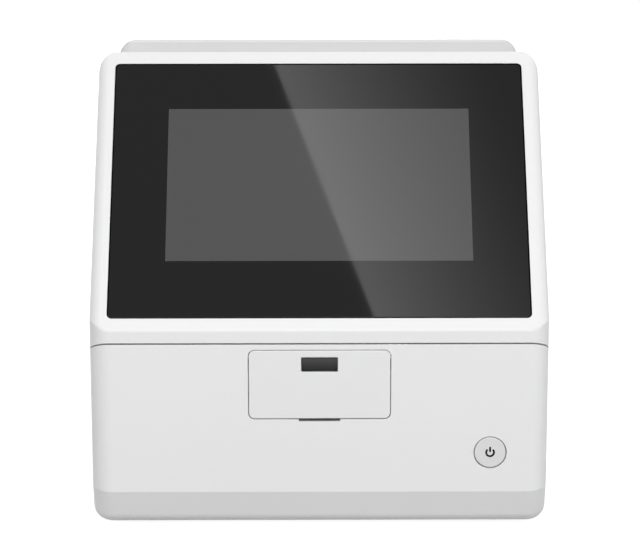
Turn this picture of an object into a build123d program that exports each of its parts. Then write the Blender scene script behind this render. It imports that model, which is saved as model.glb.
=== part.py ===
from build123d import *
from math import cos, radians, sin, tan
import os

# Bench analyzer with an inclined display over a box-shaped case.
# X runs to the viewer's right, Y runs from the front to the rear, Z runs up.
# The origin is on the table, under the middle of the case. Sizes are millimetres.

os.makedirs("parts", exist_ok=True)

# Case
width = 262.0
depth = 240.0
wall = 3.0
foot_height = 3.0
seam_z = 112.0
seam_gap = 0.9
crease_z = 24.2
undercut_depth = 8.0
corner_radius = 12.0
bottom_radius = 9.0
parting_fall = 27.5
shoulder_z = 92.0

# Display frame: a short upright lip, then the inclined bezel
lip_height = 7.6
bezel_lean = 38.2
bezel_length = 182.4
frame_depth = 24.0
bezel_wall = 4.5
frame_rim = 2.5
bezel_corner_radius = 12.5
bezel_edge_radius = 7.0
fold_radius = 2.5
bezel_end_radius = 0.8

# Glass and panel, measured up the slope from the fold
glass_width = 240.2
glass_height = 165.0
glass_start = 8.35
glass_thickness = 1.8
glass_corner_radius = 2.2
glass_gap = 0.7
gasket_thickness = 0.3
gasket_width = 6.0
view_width = 176.6
view_height = 99.4
view_start = 43.8
panel_border = 6.0
panel_thickness = 5.5
tray_thickness = 1.2
tray_margin_x = 21.0
tray_margin_y = 8.0
tray_window_width = 50.0
tray_window_height = 70.0
tray_window_pitch = 70.0
tray_corner_radius = 5.0
tray_boss_margin = 15.0
tray_boss_radius = 4.0
display_board_width = 120.0
display_board_height = 60.0
chip_size = 18.0
chip_height = 2.0
display_socket_width = 30.0
display_socket_height = 6.0

# Rear cover and its roof
cover_width = 241.6
hump_rise = 4.6
roof_fall = 14.0
cover_radius = 11.0
cover_front_radius = 8.0
hump_radius = 1.2
cover_gap = 0.5
vent_height = 44.0
vent_width = 3.0
vent_pitch = 7.0
vent_count = 22
vent_above_shoulder = 60.0

# Access door in the front wall, with the card port and a finger slit
door_width = 80.5
door_height = 40.0
door_thickness = 4.0
door_below_seam = 4.1
door_corner_radius = 3.3
door_gap = 0.5
door_edge_radius = 0.5
door_swing = 100.0
port_width = 20.8
port_height = 8.6
port_below_edge = 4.1
port_bevel = 0.4
slit_width = 23.6
slit_height = 1.2
surround_depth = 12.0
surround_wall = 2.5
stop_lip = 3.0
stop_thickness = 2.0
stop_height = 28.0
strike_width = 10.0
strike_height = 4.0
strike_thickness = 0.3
magnet_thickness = 3.0
magnet_opening = 16.0
rib_spread = 56.0
rib_width = 1.2
rib_height = 18.0
rib_depth = 1.5

# Hinge pins of the door and of the printer lid
pin_diameter = 2.0
pin_length = 9.0
pin_engagement = 4.6
pivot_inset = 4.0
pivot_depth = 2.0
running_gap = 0.05
seat_gap = 0.02
part_gap = 0.3

# Power button
button_x = 97.6
button_below_seam = 64.5
button_radius = 8.95
button_gap = 0.6
button_recess = 0.2
button_travel = 1.5
button_skirt = 1.6
button_cap_height = 4.8
stem_radius = 3.0
stem_length = 8.0
holder_wall = 2.0
holder_depth = 14.0
button_edge_radius = 0.6
spring_wire = 0.7
spring_clearance = 1.2
spring_turns = 4
switch_board_width = 28.0
switch_board_height = 22.0
plunger_radius = 2.5

# Card mechanism
card_width = 18.4
card_slack = 0.6
card_z = 97.2
bay_deck_z = 78.0
bay_width = 72.0
bay_front = 8.0
bay_length = 92.0
leg_setback = 8.0
sheet = 1.5
end_plate = 2.0
end_plate_margin = 8.0
deck_window_width = 20.0
deck_window_margin = 20.0
leg_window_width = 26.0
leg_window_height = 36.0
leg_window_pitch = 40.0
leg_window_radius = 4.0
bay_flange = 10.0
bay_screw_pitch = 60.0
bearing_wall = 1.5
bearing_lip = 1.0
rod_diameter = 3.0
rod_spread = 34.0
rod_z = 88.0
screw_diameter = 4.0
carriage_width = 43.0
carriage_length = 36.0
carriage_height = 8.0
carriage_travel = 40.0
tray_width = 24.0
nut_diameter = 9.0
nut_seat_radius = 3.7
nut_length = 14.0
nut_flange = 1.5
heater_thickness = 1.0
tray_wall = 1.6
motor_size = 28.0
motor_length = 26.0
motor_chamfer = 2.5
motor_end = 4.0
optics_width = 70.0
optics_length = 32.0
optics_height = 38.0
optics_gap = 2.0
optics_body_width = 50.0
optics_leg_width = 8.0
optics_shoulder_height = 10.0
optics_chamfer = 6.0
lens_diameter = 10.0
lens_thickness = 3.0
lens_lip = 1.0
lamp_board_width = 30.0
lamp_board_length = 26.0
lamp_height = 3.0
detector_board_width = 34.0
detector_board_height = 28.0
sensor_width = 8.0
sensor_length = 10.0
flag_length = 6.0
flag_reach = 4.5

# Chassis, main board and rear connectors
chassis_thickness = 1.5
post_height = 4.0
chassis_inset = 12.0
board_width = 112.0
board_length = 84.0
board_thickness = 1.6
board_x = -52.0
standoff_height = 8.0
standoff_diameter = 6.0
screw_hole = 3.4
screw_clearance = 0.1
screw_head_radius = 3.2
screw_head_height = 1.2
post_radius = 5.0
connector_gap = 0.4
connector_depth = 14.0
connector_back = 2.0
connector_setback = 0.4

# Cooling fan behind the rear wall
fan_size = 60.0
fan_thickness = 15.0
fan_x = 72.0
fan_z = 50.0
fan_bore = 57.0
hub_diameter = 24.0
blade_count = 7
blade_thickness = 1.6
blade_angle = 55.0
strut_width = 3.0
strut_thickness = 2.0
axle_radius = 1.5
fan_screw_spread = 50.0
fan_corner_radius = 4.0
grille_pitch = 5.2
grille_slot = 2.6
grille_height = 46.0
grille_count = 10

# Receipt printer in the roof
lid_width = 78.0
lid_length = 62.0
lid_start = 22.0
lid_thickness = 4.0
lid_swing = 95.0
roll_diameter = 42.0
roll_width = 57.0
roll_core = 12.0
cradle_wall = 2.0
cradle_depth = 56.0
platen_diameter = 8.0
platen_width = 58.0
platen_shaft = 3.0
ear_thickness = 3.0
platen_along = 8.0
platen_clearance = 1.0
roll_along_lid = 18.0
roll_clearance = 1.5
core_wall = 2.0
well_flange = 6.0
well_flange_thickness = 2.0
cheek_width = 24.0
cheek_thickness = 2.0
head_thickness = 2.4
head_height = 12.0
head_clearance = 0.8

# Boards and the connectors at the rear: place along X, width and height
rear_ports = {"power": (-94.0, 9.0, 11.0), "usb": (-70.0, 14.6, 15.8), "network": (-44.0, 16.0, 13.6),
              "serial": (-12.0, 31.0, 12.6)}
board_blocks = ((-12, -8, 26, 26, 2.4), (24, -4, 14, 20, 1.8), (-38, -14, 12, 12, 9), (34, -28, 22, 8, 6))
board_hole_inset = 6.0
jack_bore = 6.4
jack_pin = 2.1
usb_pitch = 7.6
usb_width = 12.4
usb_height = 5.0
tongue_width = 11.0
tongue_height = 1.8
tongue_setback = 1.5
network_width = 11.8
network_height = 8.2
serial_width = 18.0
serial_height = 8.4

# Screw posts and the speaker on the chassis
post_x = 108.0
post_mid_y = 5.0
post_pitch = 67.0
speaker_x = 75.0
speaker_y = -60.0
speaker_width = 34.0
speaker_length = 44.0
speaker_height = 12.0
speaker_corner_radius = 3.0

# Feet
foot_diameter = 14.0
foot_pocket = 1.0
foot_inset_x = 34.0
foot_inset_y = 30.0

front_y = -depth / 2
rear_y = depth / 2
half_width = width / 2
cover_half = cover_width / 2
fold_z = seam_z + lip_height
lean = radians(bezel_lean)
fall = tan(radians(parting_fall))
case_top_z = seam_z - seam_gap / 2
frame_base_z = seam_z + seam_gap / 2
deck_y = front_y + (case_top_z - shoulder_z) / fall
chassis_z = foot_height + wall + post_height
chassis_top = chassis_z + chassis_thickness
board_z = chassis_top + standoff_height
board_top = board_z + board_thickness


def bezel_point(along, into):
    """Side-view place (y, z), up the slope from the fold and behind its surface."""
    y = front_y + along * sin(lean) + into * cos(lean)
    z = fold_z + along * cos(lean) - into * sin(lean)
    return y, z


def bezel_plane(into):
    """Plane parallel to the glass, its Y up the slope and its Z towards the viewer."""
    y, z = bezel_point(0, into)
    return Plane(origin=(0, y, z), x_dir=(1, 0, 0), z_dir=(0, -cos(lean), sin(lean)))


def back_plane_foot(into, base_z):
    """Side-view place where the frame's back plane meets the falling parting line."""
    y, z = bezel_point(bezel_length, into)
    above_line = z - (base_z - fall * (y - front_y))
    down = above_line / (cos(lean) + fall * sin(lean))
    return y - down * sin(lean), z - down * cos(lean)


hump_y, frame_top_z = bezel_point(bezel_length, frame_depth + cover_gap)
hump_z = bezel_point(bezel_length, 0)[1] + hump_rise
roof_angle = radians(roof_fall)
roof_rear_z = hump_z - (rear_y - hump_y) * tan(roof_angle)


def roof_plane(into):
    """Plane parallel to the roof, its Y running to the rear and its Z outwards."""
    y = hump_y - into * sin(roof_angle)
    z = hump_z - into * cos(roof_angle)
    return Plane(origin=(0, y, z), x_dir=(1, 0, 0), z_dir=(0, sin(roof_angle), cos(roof_angle)))


def roof_point(along, into):
    """Side-view place (y, z), down the roof from the hump and below its surface."""
    y = hump_y + along * cos(roof_angle) - into * sin(roof_angle)
    z = hump_z - along * sin(roof_angle) - into * cos(roof_angle)
    return y, z


def save(piece, name):
    piece.label = name
    export_step(piece, f"parts/{name}.step")


def case_block(inset):
    """Rounded block of the lower case, or of its cavity when inset."""
    half = half_width - inset
    with BuildPart() as block:
        with BuildSketch(Plane.YZ):
            with BuildLine():
                Polyline(
                    (front_y + undercut_depth, foot_height),
                    (front_y, crease_z),
                    (front_y, case_top_z),
                    (deck_y, shoulder_z),
                    (rear_y, shoulder_z),
                    (rear_y, foot_height),
                    close=True,
                )
            make_face()
            if inset:
                offset(amount=-inset, kind=Kind.INTERSECTION)
        extrude(amount=half, both=True)
        uprights = edges().filter_by(
            lambda e: abs(abs(e.center().X) - half) < 0.01
            and (e.center().Y < front_y + undercut_depth / 2 + inset + 0.01
                 or e.center().Y > rear_y - inset - 0.01)
        )
        fillet(uprights, corner_radius - inset)
        fillet(edges().group_by(Axis.Z)[0], bottom_radius - inset)
    return block.part


def frame_outline(inset):
    """Block with the frame's rounded outline, seen square to the bezel."""
    with BuildPart() as block:
        with BuildSketch(bezel_plane(-frame_depth)):
            with Locations((0, bezel_length / 2 - depth / 2)):
                Rectangle(width - 2 * inset, bezel_length + depth - 2 * inset)
            fillet(vertices().group_by(Axis.Y)[-1], bezel_corner_radius - inset)
        extrude(amount=-depth)
    return block.part


def frame_plan(inset):
    """Upright block with the case's rounded front corners."""
    with BuildPart() as block:
        with BuildSketch(Plane.XY):
            Rectangle(width - 2 * inset, depth - 2 * inset)
            fillet(vertices().group_by(Axis.Y)[0], corner_radius - inset)
        extrude(amount=2 * hump_z)
    return block.part


def ridge_block(surface, half, radius, inset):
    """Block under a sloping surface, its two long top edges rounded."""
    across = Plane(origin=surface.origin, x_dir=(1, 0, 0), z_dir=surface.y_dir)
    with BuildPart() as block:
        with BuildSketch(across):
            with Locations((0, depth / 2)):
                Rectangle(2 * (half - inset), depth - 2 * inset)
            fillet(vertices().group_by(Axis.Y)[0], radius - inset)
        extrude(amount=depth, both=True)
    return block.part


def frame_block():
    """Outer form of the display frame: lip, inclined bezel and its rounded corners."""
    plan = frame_plan(0)
    outline = frame_outline(0)
    section = ridge_block(bezel_plane(0), half_width, bezel_edge_radius, 0)
    with BuildPart() as block:
        with BuildSketch(Plane.YZ):
            with BuildLine():
                Polyline(
                    (front_y, frame_base_z),
                    (front_y, fold_z),
                    bezel_point(bezel_length, 0),
                    bezel_point(bezel_length, frame_depth),
                    back_plane_foot(frame_depth, frame_base_z),
                    close=True,
                )
            make_face()
            fillet(vertices().sort_by_distance(bezel_point(bezel_length, 0))[0], bezel_end_radius)
        extrude(amount=half_width, both=True)
        add(plan, mode=Mode.INTERSECT)
        slope_face = faces().filter_by(lambda f: f.normal_at().dot(bezel_plane(0).z_dir) > 0.999)[0]
        fold = slope_face.edges().filter_by(lambda e: e.center().Y < bezel_point(bezel_length, 0)[0] - fold_radius)
        fillet(fold, fold_radius)
        add(outline, mode=Mode.INTERSECT)
        add(section, mode=Mode.INTERSECT)
    return block.part


def frame_cavity():
    """Hollow of the display frame, open at its foot."""
    plan = frame_plan(wall)
    outline = frame_outline(wall)
    inner_fold = (wall - bezel_wall * cos(lean)) / sin(lean)
    with BuildPart() as block:
        with BuildSketch(Plane.YZ):
            with BuildLine():
                Polyline(
                    (front_y + wall, shoulder_z),
                    bezel_point(inner_fold, bezel_wall),
                    bezel_point(bezel_length - wall, bezel_wall),
                    bezel_point(bezel_length - wall, frame_depth - frame_rim),
                    close=True,
                )
            make_face()
        extrude(amount=half_width - wall, both=True)
        add(plan, mode=Mode.INTERSECT)
        add(outline, mode=Mode.INTERSECT)
    return block.part


def cover_block(inset):
    """Rounded block of the rear cover, or of its cavity when inset."""
    half = cover_half - inset
    roof = ridge_block(roof_plane(0), cover_half, cover_radius, inset)
    gap = cover_gap + seam_gap / 2
    foot = back_plane_foot(frame_depth + cover_gap, case_top_z + gap)
    with BuildPart() as block:
        with BuildSketch(Plane.YZ):
            with BuildLine():
                Polyline(
                    (hump_y, hump_z),
                    (rear_y, roof_rear_z),
                    (rear_y, shoulder_z + gap),
                    (deck_y, shoulder_z + gap),
                    foot,
                    (hump_y, frame_top_z),
                    close=True,
                )
            make_face()
            if inset:
                offset(amount=-inset, kind=Kind.INTERSECTION)
            fillet(vertices().sort_by_distance((rear_y - inset, roof_rear_z - inset))[0], cover_radius - inset)
            if not inset:
                fillet(vertices().sort_by_distance((hump_y, hump_z))[0], hump_radius)
        extrude(amount=half, both=True)
        add(roof, mode=Mode.INTERSECT)
        # Rear corners, seen from above, and front corners over the top of the display frame
        with BuildSketch(Plane.XY):
            with Locations((0, rear_y - depth)):
                RectangleRounded(2 * half, 2 * depth - 2 * inset, cover_radius - inset)
        extrude(amount=2 * depth, mode=Mode.INTERSECT)
        with BuildSketch(Plane.XY.offset(frame_top_z)):
            Rectangle(2 * width, 2 * depth)
            with Locations((0, hump_y + depth)):
                RectangleRounded(
                    2 * half, 2 * depth - 2 * inset, cover_front_radius - inset, mode=Mode.SUBTRACT
                )
        extrude(amount=depth, mode=Mode.SUBTRACT)
    return block.part


# Lower case: moulded tub with the door surround, button bore, fan grille and posts
door_top = seam_z - door_below_seam
door_z = door_top - door_height / 2
door_foot_z = door_top - door_height
button_z = seam_z - button_below_seam
post_places = [(side * post_x, post_mid_y + row * post_pitch) for side in (-1, 1) for row in (-1, 0, 1)]
foot_places = [
    (sx * (half_width - foot_inset_x), sy * (depth / 2 - foot_inset_y)) for sx in (-1, 1) for sy in (-1, 1)
]
tub_outer = case_block(0)
tub_inner = case_block(wall)
# Surround behind the door, trimmed to the case's parting line
with BuildPart() as door_surround:
    with BuildSketch(Plane.XZ.offset(-front_y)):
        with Locations((0, door_z)):
            Rectangle(door_width + 2 * (door_gap + surround_wall), door_height + 2 * (door_gap + surround_wall))
    extrude(amount=-surround_depth)
    add(tub_outer, mode=Mode.INTERSECT)
with BuildPart() as lower_case:
    add(tub_outer)
    add(tub_inner, mode=Mode.SUBTRACT)
    with Locations((0, 0, shoulder_z)):
        Box(2 * (cover_half - 2 * wall), depth - 4 * wall, 60, mode=Mode.SUBTRACT)
    add(door_surround.part)
    # Door opening through the front wall, with the finger slit under it
    with BuildSketch(Plane.XZ.offset(-front_y)):
        with Locations((0, door_z)):
            RectangleRounded(
                door_width + 2 * door_gap, door_height + 2 * door_gap, door_corner_radius + door_gap
            )
        with Locations((0, door_foot_z - door_gap)):
            Rectangle(slit_width, 2 * slit_height)
    extrude(amount=-surround_depth, mode=Mode.SUBTRACT)
    # Stop that the closed door rests against, along its lower edge and lower sides
    with BuildSketch(Plane.XZ.offset(-front_y - door_thickness - part_gap)):
        with Locations((0, door_foot_z - door_gap + stop_height / 2)):
            Rectangle(door_width + 2 * door_gap, stop_height)
        with Locations((0, door_foot_z - door_gap + stop_height / 2 + stop_lip)):
            Rectangle(door_width + 2 * door_gap - 2 * stop_lip, stop_height, mode=Mode.SUBTRACT)
        with Locations((0, door_foot_z + stop_lip)):
            Rectangle(magnet_opening, 2 * stop_lip + 2 * door_gap)
    extrude(amount=-stop_thickness)
    # Bores for the hinge pins
    with BuildSketch(Plane.YZ):
        with Locations((front_y + pivot_depth, door_top - pivot_inset)):
            Circle(pin_diameter / 2 + seat_gap)
    extrude(amount=door_width / 2 - pin_engagement + pin_length, both=True, mode=Mode.SUBTRACT)
    # Bore of the power button
    with BuildSketch(Plane.XZ.offset(-front_y)):
        with Locations((button_x, button_z)):
            Circle(button_radius + button_gap)
    extrude(amount=-wall, mode=Mode.SUBTRACT)
    # Connector openings and fan grille in the rear wall
    with BuildSketch(Plane.XZ.offset(-rear_y)):
        for x, port_w, port_h in rear_ports.values():
            with Locations((x, board_top + port_h / 2)):
                Rectangle(port_w + 2 * connector_gap, port_h + 2 * connector_gap)
        with Locations((fan_x, fan_z)):
            with GridLocations(grille_pitch, 0, grille_count, 1):
                SlotOverall(grille_height, grille_slot, rotation=90)
    extrude(amount=wall, mode=Mode.SUBTRACT)
    # Posts under the chassis, with screw holes, and pockets for the feet
    with BuildSketch(Plane.XY.offset(foot_height + wall)):
        with Locations(*post_places):
            Circle(post_radius)
    extrude(amount=post_height)
    with BuildSketch(Plane.XY.offset(foot_height)):
        with Locations(*post_places):
            Circle(screw_hole / 2)
    extrude(amount=wall + post_height, mode=Mode.SUBTRACT)
    with BuildSketch(Plane.XY.offset(foot_height)):
        with Locations(*foot_places):
            Circle(foot_diameter / 2 + part_gap)
    extrude(amount=foot_pocket, mode=Mode.SUBTRACT)
save(lower_case.part, "lower_case")

# Display frame: moulded shell that carries the glass and the panel
frame_outer = frame_block()
frame_inner = frame_cavity()
view_mid = view_start + view_height / 2
glass_mid = glass_start + glass_height / 2
recess = glass_thickness + gasket_thickness
with BuildPart() as display_frame:
    add(frame_outer)
    add(frame_inner, mode=Mode.SUBTRACT)
    with BuildSketch(bezel_plane(frame_depth - 2 * frame_rim)):
        with Locations((0, bezel_length / 2 - 2 * wall)):
            Rectangle(2 * (cover_half - 2 * wall), bezel_length - 2 * wall)
    extrude(amount=-4 * frame_rim, mode=Mode.SUBTRACT)
    with BuildSketch(bezel_plane(0)):
        with Locations((0, glass_mid)):
            RectangleRounded(
                glass_width + 2 * glass_gap, glass_height + 2 * glass_gap, glass_corner_radius + glass_gap
            )
    extrude(amount=-recess, mode=Mode.SUBTRACT)
    with BuildSketch(bezel_plane(0)):
        with Locations((0, view_mid)):
            Rectangle(view_width + 4, view_height + 4)
    extrude(amount=-2 * bezel_wall, mode=Mode.SUBTRACT)
    # Bosses for the panel tray
    with BuildSketch(bezel_plane(bezel_wall)):
        with Locations((0, view_mid)):
            with GridLocations(view_width + 2 * tray_boss_margin, view_height, 2, 2):
                Circle(tray_boss_radius)
    extrude(amount=-(panel_thickness + part_gap))
save(display_frame.part, "display_frame")

with BuildPart() as glass_gasket:
    with BuildSketch(bezel_plane(recess)):
        with Locations((0, glass_mid)):
            RectangleRounded(
                glass_width + 2 * glass_gap, glass_height + 2 * glass_gap, glass_corner_radius + glass_gap
            )
            Rectangle(glass_width - 2 * gasket_width, glass_height - 2 * gasket_width, mode=Mode.SUBTRACT)
    extrude(amount=gasket_thickness)
save(glass_gasket.part, "glass_gasket")

with BuildPart() as cover_glass:
    with BuildSketch(bezel_plane(glass_thickness)):
        with Locations((0, glass_mid)):
            RectangleRounded(glass_width, glass_height, glass_corner_radius)
    extrude(amount=glass_thickness)
    chamfer(faces().sort_by(SortBy.AREA)[-1].outer_wire().edges(), 0.25)
save(cover_glass.part, "cover_glass")

with BuildPart() as display_panel:
    with BuildSketch(bezel_plane(bezel_wall)):
        with Locations((0, view_mid)):
            Rectangle(view_width + 2 * panel_border, view_height + 2 * panel_border)
    extrude(amount=-panel_thickness)
save(display_panel.part, "display_panel")

tray_into = bezel_wall + panel_thickness + part_gap
with BuildPart() as panel_tray:
    with BuildSketch(bezel_plane(tray_into)):
        with Locations((0, view_mid)):
            RectangleRounded(
                view_width + 2 * tray_margin_x, view_height + 2 * tray_margin_y, tray_corner_radius
            )
            with GridLocations(tray_window_pitch, 0, 3, 1):
                RectangleRounded(
                    tray_window_width, tray_window_height, tray_corner_radius, mode=Mode.SUBTRACT
                )
            with GridLocations(view_width + 2 * tray_boss_margin, view_height, 2, 2):
                Circle(screw_hole / 2, mode=Mode.SUBTRACT)
    extrude(amount=-tray_thickness)
save(panel_tray.part, "panel_tray")

display_board_into = tray_into + tray_thickness + part_gap
with BuildPart() as display_board:
    with BuildSketch(bezel_plane(display_board_into)):
        with Locations((0, view_mid)):
            Rectangle(display_board_width, display_board_height)
    extrude(amount=-board_thickness)
    with BuildSketch(bezel_plane(display_board_into + board_thickness)):
        with Locations((0, view_mid), (2 * chip_size, view_mid + chip_size / 2)):
            Rectangle(chip_size, chip_size)
        with Locations((-display_board_width / 3, view_mid - display_board_height / 3)):
            Rectangle(display_socket_width, display_socket_height)
    extrude(amount=-chip_height)
save(display_board.part, "display_board")

# Rear cover: moulded shell behind the frame, open to it and to the lower case
cover_outer = cover_block(0)
cover_inner = cover_block(wall)
lid_mid = lid_start + lid_length / 2
with BuildPart() as rear_cover:
    add(cover_outer)
    add(cover_inner, mode=Mode.SUBTRACT)
    with Locations((0, -wall, (shoulder_z + case_top_z) / 2)):
        Box(2 * (cover_half - 2 * wall), depth - 2 * wall, case_top_z - shoulder_z + 6, mode=Mode.SUBTRACT)
    with BuildSketch(bezel_plane(frame_depth - wall)):
        with Locations((0, bezel_length / 2 - wall)):
            Rectangle(2 * (cover_half - 2 * wall), bezel_length - 2 * wall)
    extrude(amount=-4 * wall, mode=Mode.SUBTRACT)
    with BuildSketch(roof_plane(0)):
        with Locations((0, lid_mid)):
            RectangleRounded(lid_width + 2 * door_gap, lid_length + 2 * door_gap, door_corner_radius + door_gap)
    extrude(amount=-2 * wall, mode=Mode.SUBTRACT)
    with BuildSketch(Plane.XZ.offset(-rear_y)):
        with Locations((0, shoulder_z + vent_above_shoulder)):
            with GridLocations(vent_pitch, 0, vent_count, 1):
                SlotOverall(vent_height, vent_width, rotation=90)
    extrude(amount=wall, mode=Mode.SUBTRACT)
    with BuildSketch(Plane.YZ):
        with Locations(roof_point(lid_start + lid_length - pivot_inset, pivot_depth)):
            Circle(pin_diameter / 2 + seat_gap)
    extrude(amount=lid_width / 2 + pin_length, both=True, mode=Mode.SUBTRACT)
save(rear_cover.part, "rear_cover")

# Access door, hinged along its top edge on two stub pins
port_mid_z = door_top - port_below_edge - port_height / 2
with BuildPart() as access_door:
    with BuildSketch(Plane.XZ.offset(-front_y)):
        with Locations((0, door_z)):
            RectangleRounded(door_width, door_height, door_corner_radius)
    extrude(amount=-door_thickness)
    fillet(faces().sort_by(Axis.Y)[0].outer_wire().edges(), door_edge_radius)
    with BuildSketch(Plane.XZ.offset(-front_y)):
        with Locations((0, port_mid_z)):
            RectangleRounded(port_width, port_height, 0.6)
    extrude(amount=-door_thickness, mode=Mode.SUBTRACT)
    port_rim = edges().filter_by_position(Axis.Y, front_y - 0.01, front_y + 0.01).filter_by(
        lambda e: abs(e.center().X) < port_width / 2 + 0.1
        and abs(e.center().Z - port_mid_z) < port_height / 2 + 0.1
    )
    chamfer(port_rim, port_bevel)
    # Two stiffening ribs behind the door's lower part
    with BuildSketch(Plane.XZ.offset(-front_y - door_thickness)):
        with Locations((0, door_foot_z + stop_lip + rib_height / 2 + strike_height)):
            with GridLocations(rib_spread, 0, 2, 1):
                Rectangle(rib_width, rib_height)
    extrude(amount=-rib_depth)
    with BuildSketch(Plane.YZ.offset(door_width / 2), Plane.YZ.offset(-door_width / 2)):
        with Locations((front_y + pivot_depth, door_top - pivot_inset)):
            Circle(pin_diameter / 2 + running_gap)
    extrude(amount=pin_engagement + part_gap, both=True, mode=Mode.SUBTRACT)
save(access_door.part, "access_door")

with BuildPart() as door_hinge_pins:
    for side in (-1, 1):
        inner = door_width / 2 - pin_engagement
        with BuildSketch(Plane.YZ.offset(side * inner)):
            with Locations((front_y + pivot_depth, door_top - pivot_inset)):
                Circle(pin_diameter / 2)
        extrude(amount=side * pin_length)
save(door_hinge_pins.part, "door_hinge_pins")

strike_z = door_foot_z + stop_lip + strike_height / 2
with BuildPart() as door_strike:
    with Locations((0, front_y + door_thickness + strike_thickness / 2, strike_z)):
        Box(strike_width, strike_thickness, strike_height)
save(door_strike.part, "door_strike")

with BuildPart() as latch_magnet:
    with BuildSketch(Plane.XZ.offset(-front_y - door_thickness - part_gap - stop_thickness)):
        with Locations((0, strike_z)):
            Rectangle(strike_width, strike_height)
    extrude(amount=-magnet_thickness)
save(latch_magnet.part, "latch_magnet")

# Power button with its skirt and stem, its holder, spring and switch
cap_y = front_y + button_recess
skirt_y = front_y + wall + part_gap
with BuildPart() as power_button:
    with BuildSketch(Plane.XZ.offset(-cap_y)):
        with Locations((button_x, button_z)):
            Circle(button_radius)
    extrude(amount=-button_cap_height)
    fillet(faces().sort_by(Axis.Y)[0].outer_wire().edges(), button_edge_radius)
    with BuildSketch(Plane.XZ.offset(-skirt_y)):
        with Locations((button_x, button_z)):
            Circle(button_radius + button_skirt)
    extrude(amount=-button_skirt)
    with BuildSketch(Plane.XZ.offset(-skirt_y)):
        with Locations((button_x, button_z)):
            Circle(stem_radius)
    extrude(amount=-stem_length - button_skirt)
save(power_button.part, "power_button")

holder_radius = button_radius + button_skirt + part_gap + holder_wall
with BuildPart() as button_holder:
    with BuildSketch(Plane.XZ.offset(-front_y - wall)):
        with Locations((button_x, button_z)):
            Circle(holder_radius)
    extrude(amount=-holder_depth)
    with BuildSketch(Plane.XZ.offset(-front_y - wall)):
        with Locations((button_x, button_z)):
            Circle(holder_radius - holder_wall)
    extrude(amount=-holder_depth + holder_wall, mode=Mode.SUBTRACT)
    with BuildSketch(Plane.XZ.offset(-front_y - wall)):
        with Locations((button_x, button_z)):
            Circle(stem_radius + part_gap)
    extrude(amount=-holder_depth, mode=Mode.SUBTRACT)
save(button_holder.part, "button_holder")

spring_start = skirt_y + button_skirt
spring_end = front_y + wall + holder_depth - holder_wall
spring_radius = stem_radius + spring_clearance
spring_length = spring_end - spring_start - spring_wire - part_gap
with BuildPart() as button_spring:
    with BuildLine() as coil:
        Helix(
            pitch=spring_length / spring_turns,
            height=spring_length,
            radius=spring_radius,
            center=(button_x, spring_start + (spring_wire + part_gap) / 2, button_z),
            direction=(0, 1, 0),
        )
    with BuildSketch(Plane(origin=coil.line @ 0, z_dir=coil.line % 0)):
        RegularPolygon(spring_wire / 2, 6)
    sweep()
save(button_spring.part, "button_spring")

switch_y = front_y + wall + holder_depth
stem_end = skirt_y + button_skirt + stem_length
with BuildPart() as switch_board:
    with BuildSketch(Plane.XZ.offset(-switch_y)):
        with Locations((button_x, button_z)):
            Rectangle(switch_board_width, switch_board_height)
    extrude(amount=-board_thickness)
    with BuildSketch(Plane.XZ.offset(-stem_end - button_travel - part_gap)):
        with Locations((button_x, button_z)):
            Circle(plunger_radius)
    extrude(amount=-(switch_y - stem_end - button_travel - part_gap))
save(switch_board.part, "switch_board")

# Card bay: folded sheet bracket that carries the rods, the screw and the optics
bay_y = front_y + bay_front
bay_mid_y = bay_y + bay_length / 2
deck_top = bay_deck_z
front_plate_top = rod_z + 4 * end_plate - 2
rear_plate_top = rod_z + 6 * end_plate
deck_low = bay_deck_z - sheet
carriage_y = bay_y + end_plate + 2
with BuildPart() as bay_bracket:
    with BuildSketch(Plane.XY.offset(deck_low)):
        with Locations((0, bay_mid_y)):
            Rectangle(bay_width, bay_length)
            Rectangle(deck_window_width, bay_length - 2 * deck_window_margin, mode=Mode.SUBTRACT)
    extrude(amount=sheet)
    for side in (-1, 1):
        with BuildSketch(Plane.YZ.offset(side * bay_width / 2)):
            with Locations((bay_mid_y + leg_setback / 2, (chassis_top + deck_top) / 2)):
                Rectangle(bay_length - leg_setback, deck_top - chassis_top)
                with GridLocations(leg_window_pitch, 0, 2, 1):
                    RectangleRounded(leg_window_width, leg_window_height, leg_window_radius, mode=Mode.SUBTRACT)
        extrude(amount=-side * sheet)
        with BuildSketch(Plane.XY.offset(chassis_top)):
            with Locations((side * (bay_width + bay_flange) / 2, bay_mid_y + leg_setback / 2)):
                Rectangle(bay_flange, bay_length - leg_setback)
                with GridLocations(0, bay_screw_pitch, 1, 2):
                    Circle(screw_hole / 2, mode=Mode.SUBTRACT)
        extrude(amount=sheet)
    for plate_y, plate_top in ((bay_y, front_plate_top), (bay_y + bay_length - end_plate, rear_plate_top)):
        with BuildSketch(Plane.XZ.offset(-plate_y)):
            with Locations((0, (deck_top + plate_top) / 2)):
                Rectangle(rod_spread + 2 * end_plate_margin, plate_top - deck_top)
            with Locations((0, rod_z)):
                with GridLocations(rod_spread, 0, 2, 1):
                    Circle(rod_diameter / 2 + seat_gap, mode=Mode.SUBTRACT)
                Circle(screw_diameter / 2 + bearing_wall, mode=Mode.SUBTRACT)
        extrude(amount=-end_plate)
save(bay_bracket.part, "bay_bracket")

with BuildPart() as guide_rods:
    with BuildSketch(Plane.XZ.offset(-bay_y)):
        with Locations((0, rod_z)):
            with GridLocations(rod_spread, 0, 2, 1):
                Circle(rod_diameter / 2)
    extrude(amount=-bay_length)
save(guide_rods.part, "guide_rods")

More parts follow.
